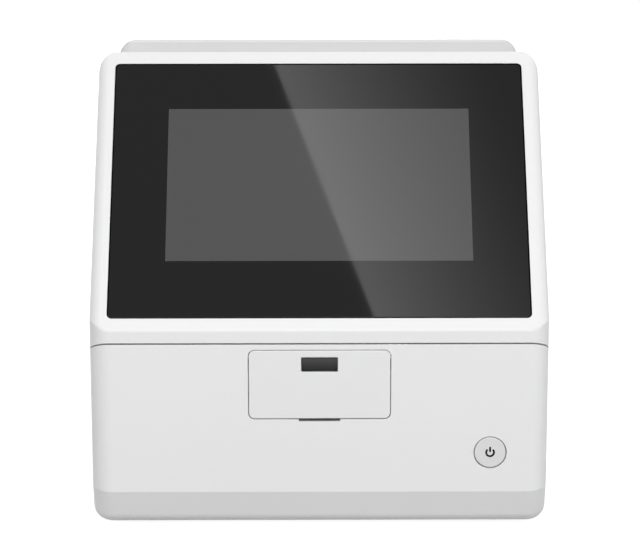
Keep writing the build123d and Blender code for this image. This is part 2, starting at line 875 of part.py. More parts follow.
with BuildPart() as screw_bearing:
    with BuildSketch(Plane.XZ.offset(-bay_y)):
        with Locations((0, rod_z)):
            Circle(screw_diameter / 2 + bearing_wall - seat_gap)
            Circle(screw_diameter / 2 + running_gap, mode=Mode.SUBTRACT)
    extrude(amount=-end_plate)
    with BuildSketch(Plane.XZ.offset(-bay_y)):
        with Locations((0, rod_z)):
            Circle(screw_diameter / 2 + bearing_wall + bearing_lip)
            Circle(screw_diameter / 2 + running_gap, mode=Mode.SUBTRACT)
    extrude(amount=bearing_lip)
save(screw_bearing.part, "screw_bearing")

motor_y = bay_y + bay_length
with BuildPart() as lead_screw:
    with BuildSketch(Plane.XZ.offset(-bay_y + 0.5)):
        with Locations((0, rod_z)):
            Circle(screw_diameter / 2)
    extrude(amount=-(bay_length + motor_length - 1.5 * motor_end))
save(lead_screw.part, "lead_screw")

with BuildPart() as stepper_motor:
    with BuildSketch(Plane.XZ.offset(-motor_y)):
        with Locations((0, rod_z)):
            Rectangle(motor_size, motor_size)
    extrude(amount=-motor_length)
    chamfer(edges().filter_by(Axis.Y), motor_chamfer)
    with BuildSketch(Plane.XZ.offset(-motor_y)):
        with Locations((0, rod_z)):
            Circle(screw_diameter / 2 + running_gap)
    extrude(amount=-(motor_length - motor_end), mode=Mode.SUBTRACT)
save(stepper_motor.part, "stepper_motor")

with BuildPart() as card_carriage:
    with BuildSketch(Plane.XY.offset(rod_z - carriage_height / 2)):
        with Locations((0, carriage_y + carriage_length / 2)):
            Rectangle(carriage_width, carriage_length)
            with Locations((-carriage_width / 2 - flag_reach / 2 + part_gap, leg_setback)):
                Rectangle(flag_reach + 2 * part_gap, flag_length)
    extrude(amount=carriage_height)
    with BuildSketch(Plane.XY.offset(rod_z + carriage_height / 2)):
        with Locations((0, carriage_y + carriage_length / 2)):
            Rectangle(tray_width, carriage_length)
    extrude(amount=card_z + tray_wall - rod_z - carriage_height / 2)
    with Locations((0, carriage_y + carriage_length / 2 - end_plate, card_z - heater_thickness)):
        Box(
            card_width + card_slack, carriage_length, 4 * tray_wall, mode=Mode.SUBTRACT,
            align=(Align.CENTER, Align.CENTER, Align.MIN),
        )
    with BuildSketch(Plane.XZ.offset(-carriage_y)):
        with Locations((0, rod_z)):
            with GridLocations(rod_spread, 0, 2, 1):
                Circle(rod_diameter / 2 + running_gap)
            Circle(screw_diameter / 2 + card_slack)
    extrude(amount=-carriage_length, mode=Mode.SUBTRACT)
    with BuildSketch(Plane.XZ.offset(-carriage_y - carriage_length)):
        with Locations((0, rod_z)):
            Circle(nut_seat_radius)
    extrude(amount=nut_length, mode=Mode.SUBTRACT)
save(card_carriage.part, "card_carriage")

with BuildPart() as lead_nut:
    with BuildSketch(Plane.XZ.offset(-carriage_y - carriage_length)):
        with Locations((0, rod_z)):
            Circle(nut_seat_radius - seat_gap)
    extrude(amount=nut_length - bearing_lip)
    with BuildSketch(Plane.XZ.offset(-carriage_y - carriage_length)):
        with Locations((0, rod_z)):
            Circle(nut_diameter / 2 + bearing_lip)
    extrude(amount=-nut_flange)
    with BuildSketch(Plane.XZ.offset(-carriage_y - carriage_length - 2)):
        with Locations((0, rod_z)):
            Circle(screw_diameter / 2 + running_gap)
    extrude(amount=nut_length + 4, mode=Mode.SUBTRACT)
save(lead_nut.part, "lead_nut")

with BuildPart() as heater_plate:
    with Locations((0, carriage_y + carriage_length / 2 - end_plate, card_z - heater_thickness / 2)):
        Box(card_width, carriage_length - heater_thickness, heater_thickness)
save(heater_plate.part, "heater_plate")

guide_top = port_mid_z + port_height / 2
with BuildPart() as card_guide:
    with BuildSketch(Plane.XZ.offset(-bay_y)):
        with Locations((0, (front_plate_top + guide_top + end_plate) / 2)):
            Rectangle(card_width + 4 * end_plate, guide_top + end_plate - front_plate_top)
    extrude(amount=-end_plate)
    with BuildSketch(Plane.XZ.offset(-bay_y)):
        with Locations((0, (card_z + guide_top) / 2)):
            Rectangle(card_width + card_slack, guide_top - card_z)
    extrude(amount=-end_plate, mode=Mode.SUBTRACT)
save(card_guide.part, "card_guide")

# Optical head over the inner end of the card's travel
optics_y = carriage_y + carriage_travel + carriage_length / 2
optics_low = card_z + tray_wall + optics_gap
with BuildPart() as optics_housing:
    with Locations((0, optics_y, optics_low + optics_height / 2)):
        Box(optics_body_width, optics_length, optics_height)
    chamfer(edges().filter_by(Axis.Y).group_by(Axis.Z)[-1], optics_chamfer)
    for side in (-1, 1):
        with Locations((side * (optics_width - optics_leg_width) / 2, optics_y, deck_top)):
            Box(
                optics_leg_width, optics_length, optics_low + optics_shoulder_height - deck_top,
                align=(Align.CENTER, Align.CENTER, Align.MIN),
            )
        with Locations((side * (optics_width / 2 - optics_leg_width), optics_y, optics_low)):
            Box(
                optics_leg_width, optics_length, optics_shoulder_height,
                align=(Align.CENTER, Align.CENTER, Align.MIN),
            )
    with BuildSketch(Plane.XY.offset(optics_low)):
        with Locations((0, optics_y)):
            Circle(lens_diameter / 2 + seat_gap)
    extrude(amount=lens_thickness + lens_lip, mode=Mode.SUBTRACT)
    with BuildSketch(Plane.XY.offset(optics_low)):
        with Locations((0, optics_y)):
            Circle(lens_diameter / 2 - lens_lip)
    extrude(amount=optics_height, mode=Mode.SUBTRACT)
save(optics_housing.part, "optics_housing")

with BuildPart() as optics_lens:
    with BuildSketch(Plane.XY.offset(optics_low + lens_lip)):
        with Locations((0, optics_y)):
            Circle(lens_diameter / 2)
    extrude(amount=lens_thickness)
save(optics_lens.part, "optics_lens")

with BuildPart() as lamp_board:
    with Locations((0, optics_y, optics_low + optics_height + board_thickness / 2)):
        Box(lamp_board_width, lamp_board_length, board_thickness)
    with Locations((0, optics_y, optics_low + optics_height + board_thickness + lamp_height / 2)):
        Box(4 * lamp_height, 3 * lamp_height, lamp_height)
save(lamp_board.part, "lamp_board")

with BuildPart() as detector_board:
    with Locations(
        (0, optics_y + (optics_length + board_thickness) / 2, optics_low + optics_height / 2 + lens_lip)
    ):
        Box(detector_board_width, board_thickness, detector_board_height)
save(detector_board.part, "detector_board")

sensor_x = -carriage_width / 2 - sensor_width / 2 - 2.5
sensor_y = carriage_y + carriage_length / 2 + leg_setback
sensor_top = rod_z + sensor_width
with BuildPart() as home_sensor:
    with Locations((sensor_x, sensor_y, (deck_top + sensor_top) / 2)):
        Box(sensor_width, sensor_length, sensor_top - deck_top)
    with Locations((sensor_x + sensor_width / 4, sensor_y, rod_z)):
        Box(sensor_width, sensor_length, carriage_height + 2 * end_plate - 1, mode=Mode.SUBTRACT)
save(home_sensor.part, "home_sensor")

# Chassis plate on the case's posts, with its screws
with BuildPart() as chassis_plate:
    with BuildSketch(Plane.XY.offset(chassis_z)):
        RectangleRounded(width - 2 * chassis_inset, depth - 2 * chassis_inset - post_height, post_radius + 1)
        with Locations(*post_places):
            Circle(screw_hole / 2, mode=Mode.SUBTRACT)
    extrude(amount=chassis_thickness)
save(chassis_plate.part, "chassis_plate")

with BuildPart() as chassis_screws:
    with BuildSketch(Plane.XY.offset(foot_height)):
        with Locations(*post_places):
            Circle(screw_hole / 2 - screw_clearance)
    extrude(amount=chassis_top - foot_height + 1.5)
    with BuildSketch(Plane.XY.offset(foot_height)):
        with Locations(*post_places):
            Circle(screw_head_radius)
    extrude(amount=-screw_head_height)
save(chassis_screws.part, "chassis_screws")

with BuildPart() as rubber_feet:
    with BuildSketch(Plane.XY):
        with Locations(*foot_places):
            Circle(foot_diameter / 2)
    extrude(amount=foot_height + foot_pocket)
    chamfer(edges().group_by(Axis.Z)[0], foot_pocket / 2)
save(rubber_feet.part, "rubber_feet")

# Main board on its standoffs, with the connectors that face the rear
board_y = rear_y - wall - 1 - board_length / 2
standoff_places = [
    (board_x + sx * (board_width / 2 - board_hole_inset), board_y + sy * (board_length / 2 - board_hole_inset))
    for sx in (-1, 1)
    for sy in (-1, 1)
]
with BuildPart() as board_standoffs:
    with BuildSketch(Plane.XY.offset(chassis_top)):
        with Locations(*standoff_places):
            RegularPolygon(standoff_diameter / 2, 6)
    extrude(amount=standoff_height)
save(board_standoffs.part, "board_standoffs")

with BuildPart() as main_board:
    with BuildSketch(Plane.XY.offset(board_z)):
        with Locations((board_x, board_y)):
            RectangleRounded(board_width, board_length, 2)
    extrude(amount=board_thickness)
    for x, y, w, l, h in board_blocks:
        with Locations((board_x + x, board_y + y, board_top + h / 2)):
            Box(w, l, h)
save(main_board.part, "main_board")

port_names = {
    "power": "power_jack", "usb": "usb_sockets", "network": "network_socket", "serial": "serial_plug"
}
for key, name in port_names.items():
    x, port_w, port_h = rear_ports[key]
    with BuildPart() as port:
        with BuildSketch(Plane.XZ.offset(-rear_y + connector_setback)):
            with Locations((x, board_top + port_h / 2)):
                Rectangle(port_w, port_h)
                if key == "power":
                    Circle(jack_bore / 2, mode=Mode.SUBTRACT)
                if key == "usb":
                    with GridLocations(0, usb_pitch, 1, 2):
                        Rectangle(usb_width, usb_height, mode=Mode.SUBTRACT)
                if key == "network":
                    Rectangle(network_width, network_height, mode=Mode.SUBTRACT)
        extrude(amount=connector_depth)
        with BuildSketch(Plane.XZ.offset(-rear_y + connector_setback + connector_depth)):
            with Locations((x, board_top + port_h / 2)):
                Rectangle(port_w, port_h)
        extrude(amount=connector_back)
        if key == "power":
            with BuildSketch(Plane.XZ.offset(-rear_y + 2 * tongue_setback)):
                with Locations((x, board_top + port_h / 2)):
                    Circle(jack_pin / 2)
            extrude(amount=connector_depth - 2 * tongue_setback + connector_setback)
        if key == "usb":
            with BuildSketch(Plane.XZ.offset(-rear_y + tongue_setback)):
                with Locations((x, board_top + port_h / 2 + 1)):
                    with GridLocations(0, usb_pitch, 1, 2):
                        Rectangle(tongue_width, tongue_height)
            extrude(amount=connector_depth - tongue_setback + connector_setback)
        if key == "serial":
            with BuildSketch(Plane.XZ.offset(-rear_y + connector_setback / 2)):
                with Locations((x, board_top + port_h / 2)):
                    SlotOverall(serial_width, serial_height)
            extrude(amount=1.5 * connector_setback)
    save(port.part, name)

# Cooling fan: frame with struts, and a bladed rotor on its hub
fan_y = rear_y - wall
with BuildPart() as fan_frame:
    with BuildSketch(Plane.XZ.offset(-fan_y)):
        with Locations((fan_x, fan_z)):
            RectangleRounded(fan_size, fan_size, fan_corner_radius)
            Circle(fan_bore / 2, mode=Mode.SUBTRACT)
            with GridLocations(fan_screw_spread, fan_screw_spread, 2, 2):
                Circle(2, mode=Mode.SUBTRACT)
    extrude(amount=fan_thickness)
    with BuildSketch(Plane.XZ.offset(-fan_y + fan_thickness - strut_thickness)):
        with Locations((fan_x, fan_z)):
            Circle(hub_diameter / 2)
            Rectangle(fan_bore + 2 * part_gap, strut_width)
            Rectangle(strut_width, fan_bore + 2 * part_gap)
    extrude(amount=strut_thickness)
    with BuildSketch(Plane.XZ.offset(-fan_y + strut_width)):
        with Locations((fan_x, fan_z)):
            Circle(axle_radius)
    extrude(amount=fan_thickness - strut_width - strut_thickness)
save(fan_frame.part, "fan_frame")

rotor_start = fan_y - strut_thickness
rotor_length = fan_thickness - strut_width - strut_thickness
with BuildPart() as fan_rotor:
    with BuildSketch(Plane.XZ.offset(-rotor_start)):
        with Locations((fan_x, fan_z)):
            Circle(hub_diameter / 2)
    extrude(amount=rotor_length)
    fan_axis = Plane(origin=(fan_x, rotor_start - rotor_length / 2, fan_z), x_dir=(1, 0, 0), z_dir=(0, -1, 0))
    with Locations(fan_axis):
        with PolarLocations(0, blade_count):
            Box(
                fan_bore / 2 - 1, rotor_length - blade_thickness, blade_thickness,
                rotation=(blade_angle, 0, 0), align=(Align.MIN, Align.CENTER, Align.CENTER),
            )
    with BuildSketch(Plane.XZ.offset(-rotor_start)):
        with Locations((fan_x, fan_z)):
            Circle(fan_bore / 2 - 1)
    extrude(amount=rotor_length, mode=Mode.INTERSECT)
    with BuildSketch(Plane.XZ.offset(-rotor_start + blade_thickness / 2)):
        with Locations((fan_x, fan_z)):
            Circle(axle_radius + running_gap)
    extrude(amount=rotor_length, mode=Mode.SUBTRACT)
save(fan_rotor.part, "fan_rotor")

# Printer lid, hinged along its rear edge, with ears that carry the platen
lid_rear = lid_start + lid_length
pivot_y, pivot_z = roof_point(lid_rear - pivot_inset, pivot_depth)
platen_y, platen_z = roof_point(
    lid_start + platen_along, lid_thickness + platen_diameter / 2 + platen_clearance
)
with BuildPart() as printer_lid:
    with BuildSketch(roof_plane(0)):
        with Locations((0, lid_mid)):
            RectangleRounded(lid_width, lid_length, door_corner_radius)
    extrude(amount=-lid_thickness)
    upward = roof_plane(0).z_dir
    top_face = faces().filter_by(lambda f: f.normal_at().dot(upward) > 0.999).sort_by(SortBy.AREA)[-1]
    fillet(top_face.outer_wire().edges(), door_edge_radius)
    with BuildSketch(Plane.YZ.offset(lid_width / 2), Plane.YZ.offset(-lid_width / 2)):
        with Locations((pivot_y, pivot_z)):
            Circle(pin_diameter / 2 + running_gap)
    extrude(amount=pin_engagement + part_gap, both=True, mode=Mode.SUBTRACT)
    for side in (-1, 1):
        with BuildSketch(Plane.YZ.offset(side * (platen_width / 2 + part_gap))):
            with BuildLine():
                Polyline(
                    roof_point(lid_start + 2.5, lid_thickness - 0.5),
                    roof_point(lid_start + 16, lid_thickness - 0.5),
                    roof_point(lid_start + 11.5, lid_thickness + platen_diameter + 1),
                    roof_point(lid_start + 4.5, lid_thickness + platen_diameter + 1),
                    close=True,
                )
            make_face()
            with Locations((platen_y, platen_z)):
                Circle(platen_shaft / 2 + running_gap, mode=Mode.SUBTRACT)
        extrude(amount=side * ear_thickness)
save(printer_lid.part, "printer_lid")

with BuildPart() as lid_hinge_pins:
    for side in (-1, 1):
        with BuildSketch(Plane.YZ.offset(side * (lid_width / 2 - pin_engagement))):
            with Locations((pivot_y, pivot_z)):
                Circle(pin_diameter / 2)
        extrude(amount=side * pin_length)
save(lid_hinge_pins.part, "lid_hinge_pins")

with BuildPart() as platen_roller:
    with BuildSketch(Plane.YZ):
        with Locations((platen_y, platen_z)):
            Circle(platen_diameter / 2)
    extrude(amount=platen_width / 2, both=True)
    with BuildSketch(Plane.YZ):
        with Locations((platen_y, platen_z)):
            Circle(platen_shaft / 2)
    extrude(amount=platen_width / 2 + part_gap + ear_thickness + 0.5, both=True)
save(platen_roller.part, "platen_roller")

# Paper well under the lid, with bearing slots for the roll's core
roll_along = lid_start + roll_along_lid + roll_diameter / 2
roll_into = lid_thickness + roll_diameter / 2 + roll_clearance
roll_y, roll_z = roof_point(roll_along, roll_into)
well_width = lid_width + 2 * door_gap
well_length = lid_length + 2 * door_gap
with BuildPart() as paper_well:
    with BuildSketch(roof_plane(wall)):
        with Locations((0, lid_mid)):
            Rectangle(well_width + 2 * well_flange, well_length + 2 * well_flange)
    extrude(amount=-well_flange_thickness)
    with BuildSketch(roof_plane(wall)):
        with Locations((0, lid_mid)):
            Rectangle(well_width + 2 * cradle_wall, well_length + 2 * cradle_wall)
    extrude(amount=-cradle_depth)
    with BuildSketch(roof_plane(wall)):
        with Locations((0, lid_mid)):
            Rectangle(well_width, well_length)
    extrude(amount=-cradle_depth + cradle_wall, mode=Mode.SUBTRACT)
    for side in (-1, 1):
        with BuildSketch(Plane.YZ.offset(side * (roll_width / 2 + 1))):
            with BuildLine():
                Polyline(
                    roof_point(roll_along - cheek_width / 2, roll_into - roll_core / 3),
                    roof_point(roll_along + cheek_width / 2, roll_into - roll_core / 3),
                    roof_point(roll_along + cheek_width / 2, cradle_depth + wall - cradle_wall / 2),
                    roof_point(roll_along - cheek_width / 2, cradle_depth + wall - cradle_wall / 2),
                    close=True,
                )
            make_face()
            with Locations((roll_y, roll_z)):
                Circle(roll_core / 2 - core_wall + running_gap, mode=Mode.SUBTRACT)
        extrude(amount=side * cheek_thickness)
    with BuildSketch(Plane.YZ):
        with Locations((pivot_y, pivot_z)):
            Circle(pin_diameter / 2 + seat_gap)
    extrude(amount=well_width, both=True, mode=Mode.SUBTRACT)
save(paper_well.part, "paper_well")

with BuildPart() as paper_roll:
    with BuildSketch(Plane.YZ):
        with Locations((roll_y, roll_z)):
            Circle(roll_diameter / 2)
    extrude(amount=roll_width / 2, both=True)
    with BuildSketch(Plane.YZ):
        with Locations((roll_y, roll_z)):
            Circle(roll_core / 2 - core_wall)
    extrude(amount=roll_width / 2 + 1 + cheek_thickness, both=True)
save(paper_roll.part, "paper_roll")

head_along = lid_start + platen_along - platen_diameter / 2 - head_clearance
with BuildPart() as print_head:
    with BuildSketch(roof_plane(lid_thickness + platen_clearance)):
        with Locations((0, head_along - head_thickness / 2)):
            Rectangle(platen_width, head_thickness)
    extrude(amount=-head_height)
save(print_head.part, "print_head")

with BuildPart() as speaker:
    with Locations((speaker_x, speaker_y, chassis_top + speaker_height / 2)):
        Box(speaker_width, speaker_length, speaker_height)
    fillet(edges().filter_by(Axis.Z), speaker_corner_radius)
save(speaker.part, "speaker")
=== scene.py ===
from math import cos, pi, radians, sin

import bmesh
import bpy
from mathutils import Matrix, Vector
from mathutils.geometry import tessellate_polygon


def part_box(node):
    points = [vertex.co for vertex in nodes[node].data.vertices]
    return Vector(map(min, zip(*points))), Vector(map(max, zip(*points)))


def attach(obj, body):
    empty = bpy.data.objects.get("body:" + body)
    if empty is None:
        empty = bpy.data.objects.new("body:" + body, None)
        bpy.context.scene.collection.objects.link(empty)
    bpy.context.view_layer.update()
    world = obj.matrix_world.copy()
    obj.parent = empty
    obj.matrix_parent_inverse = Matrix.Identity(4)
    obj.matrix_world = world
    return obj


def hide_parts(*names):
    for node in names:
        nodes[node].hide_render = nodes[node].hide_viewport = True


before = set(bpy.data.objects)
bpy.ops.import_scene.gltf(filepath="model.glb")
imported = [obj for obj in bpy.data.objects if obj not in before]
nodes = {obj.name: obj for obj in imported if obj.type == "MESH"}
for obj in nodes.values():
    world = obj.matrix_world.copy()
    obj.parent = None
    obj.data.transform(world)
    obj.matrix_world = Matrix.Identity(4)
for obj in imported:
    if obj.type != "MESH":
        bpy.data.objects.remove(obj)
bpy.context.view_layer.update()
scene = bpy.context.scene
scene.view_settings.view_transform = "Standard"

# The room: a white table in a white studio. The camera, metal and glass see it as plain white,
# and the table keeps the object's shadow.
table_size = 8.0
table_glow = 0.90
table_bounce = 0.42
sky_strength = 0.355


def add_node(tree, kind, inputs=None, **settings):
    """Adds a node to a tree, with its settings and with each named input linked or filled."""
    node = tree.nodes.new(kind)
    for name, value in settings.items():
        setattr(node, name, value)
    for name, value in (inputs or {}).items():
        if isinstance(value, bpy.types.NodeSocket):
            tree.links.new(value, node.inputs[name])
        else:
            node.inputs[name].default_value = value
    return node


def reckoned(tree, operation, *values):
    """Result of one step of arithmetic on numbers and sockets."""
    return add_node(tree, "ShaderNodeMath", dict(enumerate(values)), operation=operation).outputs[0]


def seen_directly(tree):
    """1 for camera, glossy and transmission rays, 0 for the rays that light the object."""
    ray = add_node(tree, "ShaderNodeLightPath")
    shiny = reckoned(tree, "MAXIMUM", ray.outputs["Is Glossy Ray"], ray.outputs["Is Transmission Ray"])
    return reckoned(tree, "MAXIMUM", ray.outputs["Is Camera Ray"], shiny)


def new_object(name, data):
    """New object in the scene."""
    result = bpy.data.objects.new(name, data)
    scene.collection.objects.link(result)
    return result


def bare_material(name):
    """New material whose tree holds nothing but its output, and that tree."""
    finish = bpy.data.materials.new(name)
    finish.use_nodes = True
    finish.node_tree.nodes.remove(finish.node_tree.nodes["Principled BSDF"])
    return finish, finish.node_tree


def grid_object(name, half, finish):
    """Flat square at the origin, half metres to each side."""
    mesh = bpy.data.meshes.new(name)
    shape = bmesh.new()
    bmesh.ops.create_grid(shape, x_segments=2, y_segments=2, size=half)
    shape.to_mesh(mesh)
    shape.free()
    mesh.materials.append(finish)
    return new_object(name, mesh)


table_paint, tree = bare_material("table_white")
bounce = add_node(tree, "ShaderNodeBsdfDiffuse", {"Color": (table_bounce, table_bounce, table_bounce, 1)})
glow = add_node(tree, "ShaderNodeEmission", {"Color": (1, 1, 1, 1), "Strength": table_glow})
bright = add_node(tree, "ShaderNodeAddShader", {0: bounce.outputs[0], 1: glow.outputs[0]})
table_mix = add_node(
    tree, "ShaderNodeMixShader", {0: seen_directly(tree), 1: bounce.outputs[0], 2: bright.outputs[0]}
)
tree.links.new(table_mix.outputs[0], tree.nodes["Material Output"].inputs["Surface"])
grid_object("table_top", table_size / 2, table_paint)

studio = bpy.data.worlds.new("studio")
scene.world = studio
studio.use_nodes = True
tree = studio.node_tree
sky = tree.nodes["Background"]
sky.inputs["Color"].default_value = (1, 1, 1, 1)
sky.inputs["Strength"].default_value = sky_strength
backdrop = add_node(tree, "ShaderNodeBackground", {"Color": (1, 1, 1, 1), "Strength": 1.0})
studio_mix = add_node(
    tree, "ShaderNodeMixShader", {0: seen_directly(tree), 1: sky.outputs[0], 2: backdrop.outputs[0]}
)
tree.links.new(studio_mix.outputs[0], tree.nodes["World Output"].inputs["Surface"])


# The lamps: a wide box high behind the camera gives the soft, even light. Weak boxes fill the
# sides and the rear.
def soft_box(name, place, size, power):
    """Square lamp, size metres on a side, turned towards the object."""
    lamp = bpy.data.lights.new(name, "AREA")
    lamp.shape = "SQUARE"
    lamp.size = size
    lamp.energy = power
    holder = new_object(name, lamp)
    holder.location = place
    holder.rotation_euler = (lamp_aim - Vector(place)).to_track_quat("-Z", "Y").to_euler()
    holder.visible_camera = False


lamp_aim = Vector((0, 0, 0.15))
soft_box("key_box", (0.0, -1.84, 1.51), 1.2, 33.4)
soft_box("right_box", (1.9, -1.3, 0.9), 1.0, 10.0)
soft_box("left_box", (-1.9, -1.0, 0.9), 1.0, 2.4)
soft_box("rear_box", (-1.0, 2.0, 0.8), 1.2, 24.0)

# The studio board over the camera, which only the gloss of the glass sees: grey on the left, and
# bright from a slanting edge on, fading to the right. It lights nothing.
board_place = Vector((0.0, -0.60, 1.42))
board_tilt = radians(26.7)
board_half = 1.3
board_grey = 0.42
board_bright = 1.9
edge_place = 0.0018
edge_slope = 0.392
fade_length = 0.25
fade_power = 1.6


def axes(tree, vector):
    """The X, Y and Z parts of a vector."""
    return add_node(tree, "ShaderNodeSeparateXYZ", {0: vector}).outputs


board_light, tree = bare_material("studio_board")
place = add_node(tree, "ShaderNodeTexCoord")
split = axes(tree, place.outputs["Object"])
slant = reckoned(tree, "MULTIPLY_ADD", split["Y"], edge_slope, -edge_place)
past_edge = reckoned(tree, "ADD", split["X"], slant)
lit_side = reckoned(tree, "GREATER_THAN", past_edge, 0.0)
fade = add_node(
    tree, "ShaderNodeMapRange",
    {"Value": past_edge, "From Min": 0.0, "From Max": fade_length, "To Min": 1.0, "To Max": 0.0},
)
falling = reckoned(tree, "POWER", fade.outputs[0], fade_power)
gain = reckoned(tree, "MULTIPLY", lit_side, falling)
board_level = reckoned(tree, "MULTIPLY_ADD", gain, board_bright, board_grey)
board_glow = add_node(tree, "ShaderNodeEmission", {"Color": (1, 1, 1, 1), "Strength": board_level})
tree.links.new(board_glow.outputs[0], tree.nodes["Material Output"].inputs["Surface"])
studio_board = grid_object("studio_board", board_half, board_light)
studio_board.location = board_place
studio_board.rotation_euler = (board_tilt, 0, 0)
studio_board.visible_camera = False
studio_board.visible_diffuse = False
studio_board.visible_shadow = False

# The camera stands in front of the object and a little above it, with a long lens. It looks down
# on the middle of the case.
lens_mm = 141.4
aim_point = Vector((0.0003, -0.120, 0.1496))
camera_distance = 1.4153
look_down = radians(13.016)
look_right = radians(0.288)
tilt = radians(-0.032)
look = Vector((sin(look_right) * cos(look_down), cos(look_right) * cos(look_down), -sin(look_down)))
camera_data = bpy.data.cameras.new("photo_camera")
camera_data.sensor_width = 36.0
camera_data.lens = lens_mm
camera = new_object("photo_camera", camera_data)
camera.location = aim_point - camera_distance * look
turned = look.to_track_quat("-Z", "Y").to_matrix() @ Matrix.Rotation(tilt, 3, "Z")
camera.rotation_euler = turned.to_euler()
scene.camera = camera

# Feet: four moulded rubber pads, pressed into shallow pockets under the case. The platen roller
# under the lid is of the same rubber.
rubber_black = (0.028, 0.028, 0.03)


def surface(name, colour, roughness, specular=0.5, metal=0.0):
    """New material with a plain shader, and its tree, shader and object coordinates."""
    finish = bpy.data.materials.new(name)
    finish.use_nodes = True
    shader = finish.node_tree.nodes["Principled BSDF"]
    shader.inputs["Base Color"].default_value = (*colour, 1)
    shader.inputs["Roughness"].default_value = roughness
    shader.inputs["Specular IOR Level"].default_value = specular
    shader.inputs["Metallic"].default_value = metal
    place = add_node(finish.node_tree, "ShaderNodeTexCoord")
    return finish, finish.node_tree, shader, place.outputs["Object"]


def scaled(tree, vector, scale):
    """Coordinates stretched along the axes."""
    return add_node(tree, "ShaderNodeMapping", {"Vector": vector, "Scale": scale}).outputs[0]


def noise(tree, vector, scale, detail=3.0):
    """Cloudy pattern from 0 to 1, scale spots to the metre."""
    cloud = add_node(tree, "ShaderNodeTexNoise", {"Vector": vector, "Scale": scale, "Detail": detail})
    return cloud.outputs["Fac"]


def shade_range(tree, pattern, dark, light):
    """Colour that runs from dark to light with the pattern."""
    ramp = add_node(tree, "ShaderNodeMix", {0: pattern, 6: (*dark, 1), 7: (*light, 1)}, data_type="RGBA")
    return ramp.outputs[2]


def number_range(tree, pattern, low, high):
    """Number that runs from low to high with the pattern."""
    return add_node(tree, "ShaderNodeMapRange", {"Value": pattern, "To Min": low, "To Max": high}).outputs[0]


def vary_colour(tree, shader, pattern, dark, light):
    """Colour of the shader's surface, from dark to light with the pattern."""
    tree.links.new(shade_range(tree, pattern, dark, light), shader.inputs["Base Color"])


def vary_gloss(tree, shader, pattern, low, high):
    """Roughness of the shader's surface, from low to high with the pattern."""
    tree.links.new(number_range(tree, pattern, low, high), shader.inputs["Roughness"])


def raise_by(tree, shader, pattern, height, strength=1.0):
    """Relief height metres high on the shader's surface."""
    relief = add_node(tree, "ShaderNodeBump", {"Height": pattern, "Distance": height, "Strength": strength})
    tree.links.new(relief.outputs[0], shader.inputs["Normal"])


def dress(finish, *names):
    """Gives CAD nodes their finish."""
    for name in names:
        mesh = nodes[name].data
        mesh.materials.clear()
        mesh.materials.append(finish)


foot_rubber, tree, shader, place = surface("foot_rubber", rubber_black, 0.8, 0.25)
dust = noise(tree, place, 900.0, 4.0)
vary_colour(tree, shader, dust, rubber_black, (0.05, 0.05, 0.052))
vary_gloss(tree, shader, dust, 0.7, 0.9)
raise_by(tree, shader, noise(tree, place, 3500.0), 0.00006, 0.6)
dress(foot_rubber, "rubber_feet", "platen_roller")

# Lower case and the other white mouldings: ABS with a fine satin texture from the mould, which
# catches the light evenly and hides finger marks.
case_colour = (0.80, 0.80, 0.805)
door_colour = (0.785, 0.785, 0.79)
# The rear cover and printer lid take a darker copy of the case white: painted shade for the cover's face
# behind the display frame, which gets less light than the case.
cover_shaded_colour = (0.69, 0.69, 0.695)
case_roughness = 0.42


def satin_plastic(name, colour, roughness):
    """Moulded plastic with a spark-eroded texture of about a third of a millimetre."""
    finish, tree, shader, place = surface(name, colour, roughness, 0.4)
    grain = noise(tree, place, 2800.0, 3.0)
    flow = noise(tree, place, 14.0, 2.0)
    tint = tuple(level * 0.985 for level in colour)
    vary_colour(tree, shader, flow, tint, colour)
    vary_gloss(tree, shader, grain, roughness - 0.06, roughness + 0.06)
    raise_by(tree, shader, grain, 0.00004, 0.1)
    return finish


case_white = satin_plastic("case_white", case_colour, case_roughness)
dress(case_white, "lower_case", "display_frame")
dress(satin_plastic("door_white", door_colour, case_roughness), "access_door")
cover_white_shaded = satin_plastic("cover_white_shaded", cover_shaded_colour, case_roughness)
dress(cover_white_shaded, "rear_cover", "printer_lid")

# Power button: a moulded cap, a shade darker than the case, with the standby mark printed on it.
# The mark is an open ring with a bar, and moves with the cap.
cap_colour = (0.70, 0.70, 0.705)
mark_height = 0.00006
mark_sink = 0.0001
mark_radius = 0.00222
mark_stroke = 0.00114
mark_gap = radians(53)
mark_bar_top = 0.0034
mark_bar_foot = 0.00015

cap_white = satin_plastic("button_white", cap_colour, 0.38)
dress(cap_white, "power_button")
cap_low, cap_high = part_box("power_button")
cap_centre = Vector(((cap_low[0] + cap_high[0]) / 2, cap_low[1], (cap_low[2] + cap_high[2]) / 2))


def rounded_stroke(path, stroke):
    """Outline of a stroke along path, in its own flat coordinates, with round ends."""
    end_steps = 6
    left, right = [], []
    for index, point in enumerate(path):
        before = path[max(index - 1, 0)]
        after = path[min(index + 1, len(path) - 1)]
        along = (Vector(after) - Vector(before)).normalized()
        aside = Vector((-along[1], along[0])) * stroke / 2
        left.append(Vector(point) + aside)
        right.append(Vector(point) - aside)
    outline = []
    for edge, end in ((left, path[-1]), (right[::-1], path[0])):
        outline += edge
        radius = edge[-1] - Vector(end)
        for step in range(1, end_steps):
            turn = -pi * step / end_steps
            outline.append(Vector(end) + Matrix.Rotation(turn, 2) @ radius)
    return outline


def finished(shape, name):
    """Mesh from a bmesh whose faces are turned outwards."""
    bmesh.ops.recalc_face_normals(shape, faces=shape.faces)
    mesh = bpy.data.meshes.new(name)
    shape.to_mesh(mesh)
    shape.free()
    return mesh


def banded(shape, near, far):
    """Band of faces between two equal rings of corners."""
    for index in range(len(near)):
        following = (index + 1) % len(near)
        shape.faces.new((near[index], near[following], far[following], far[index]))


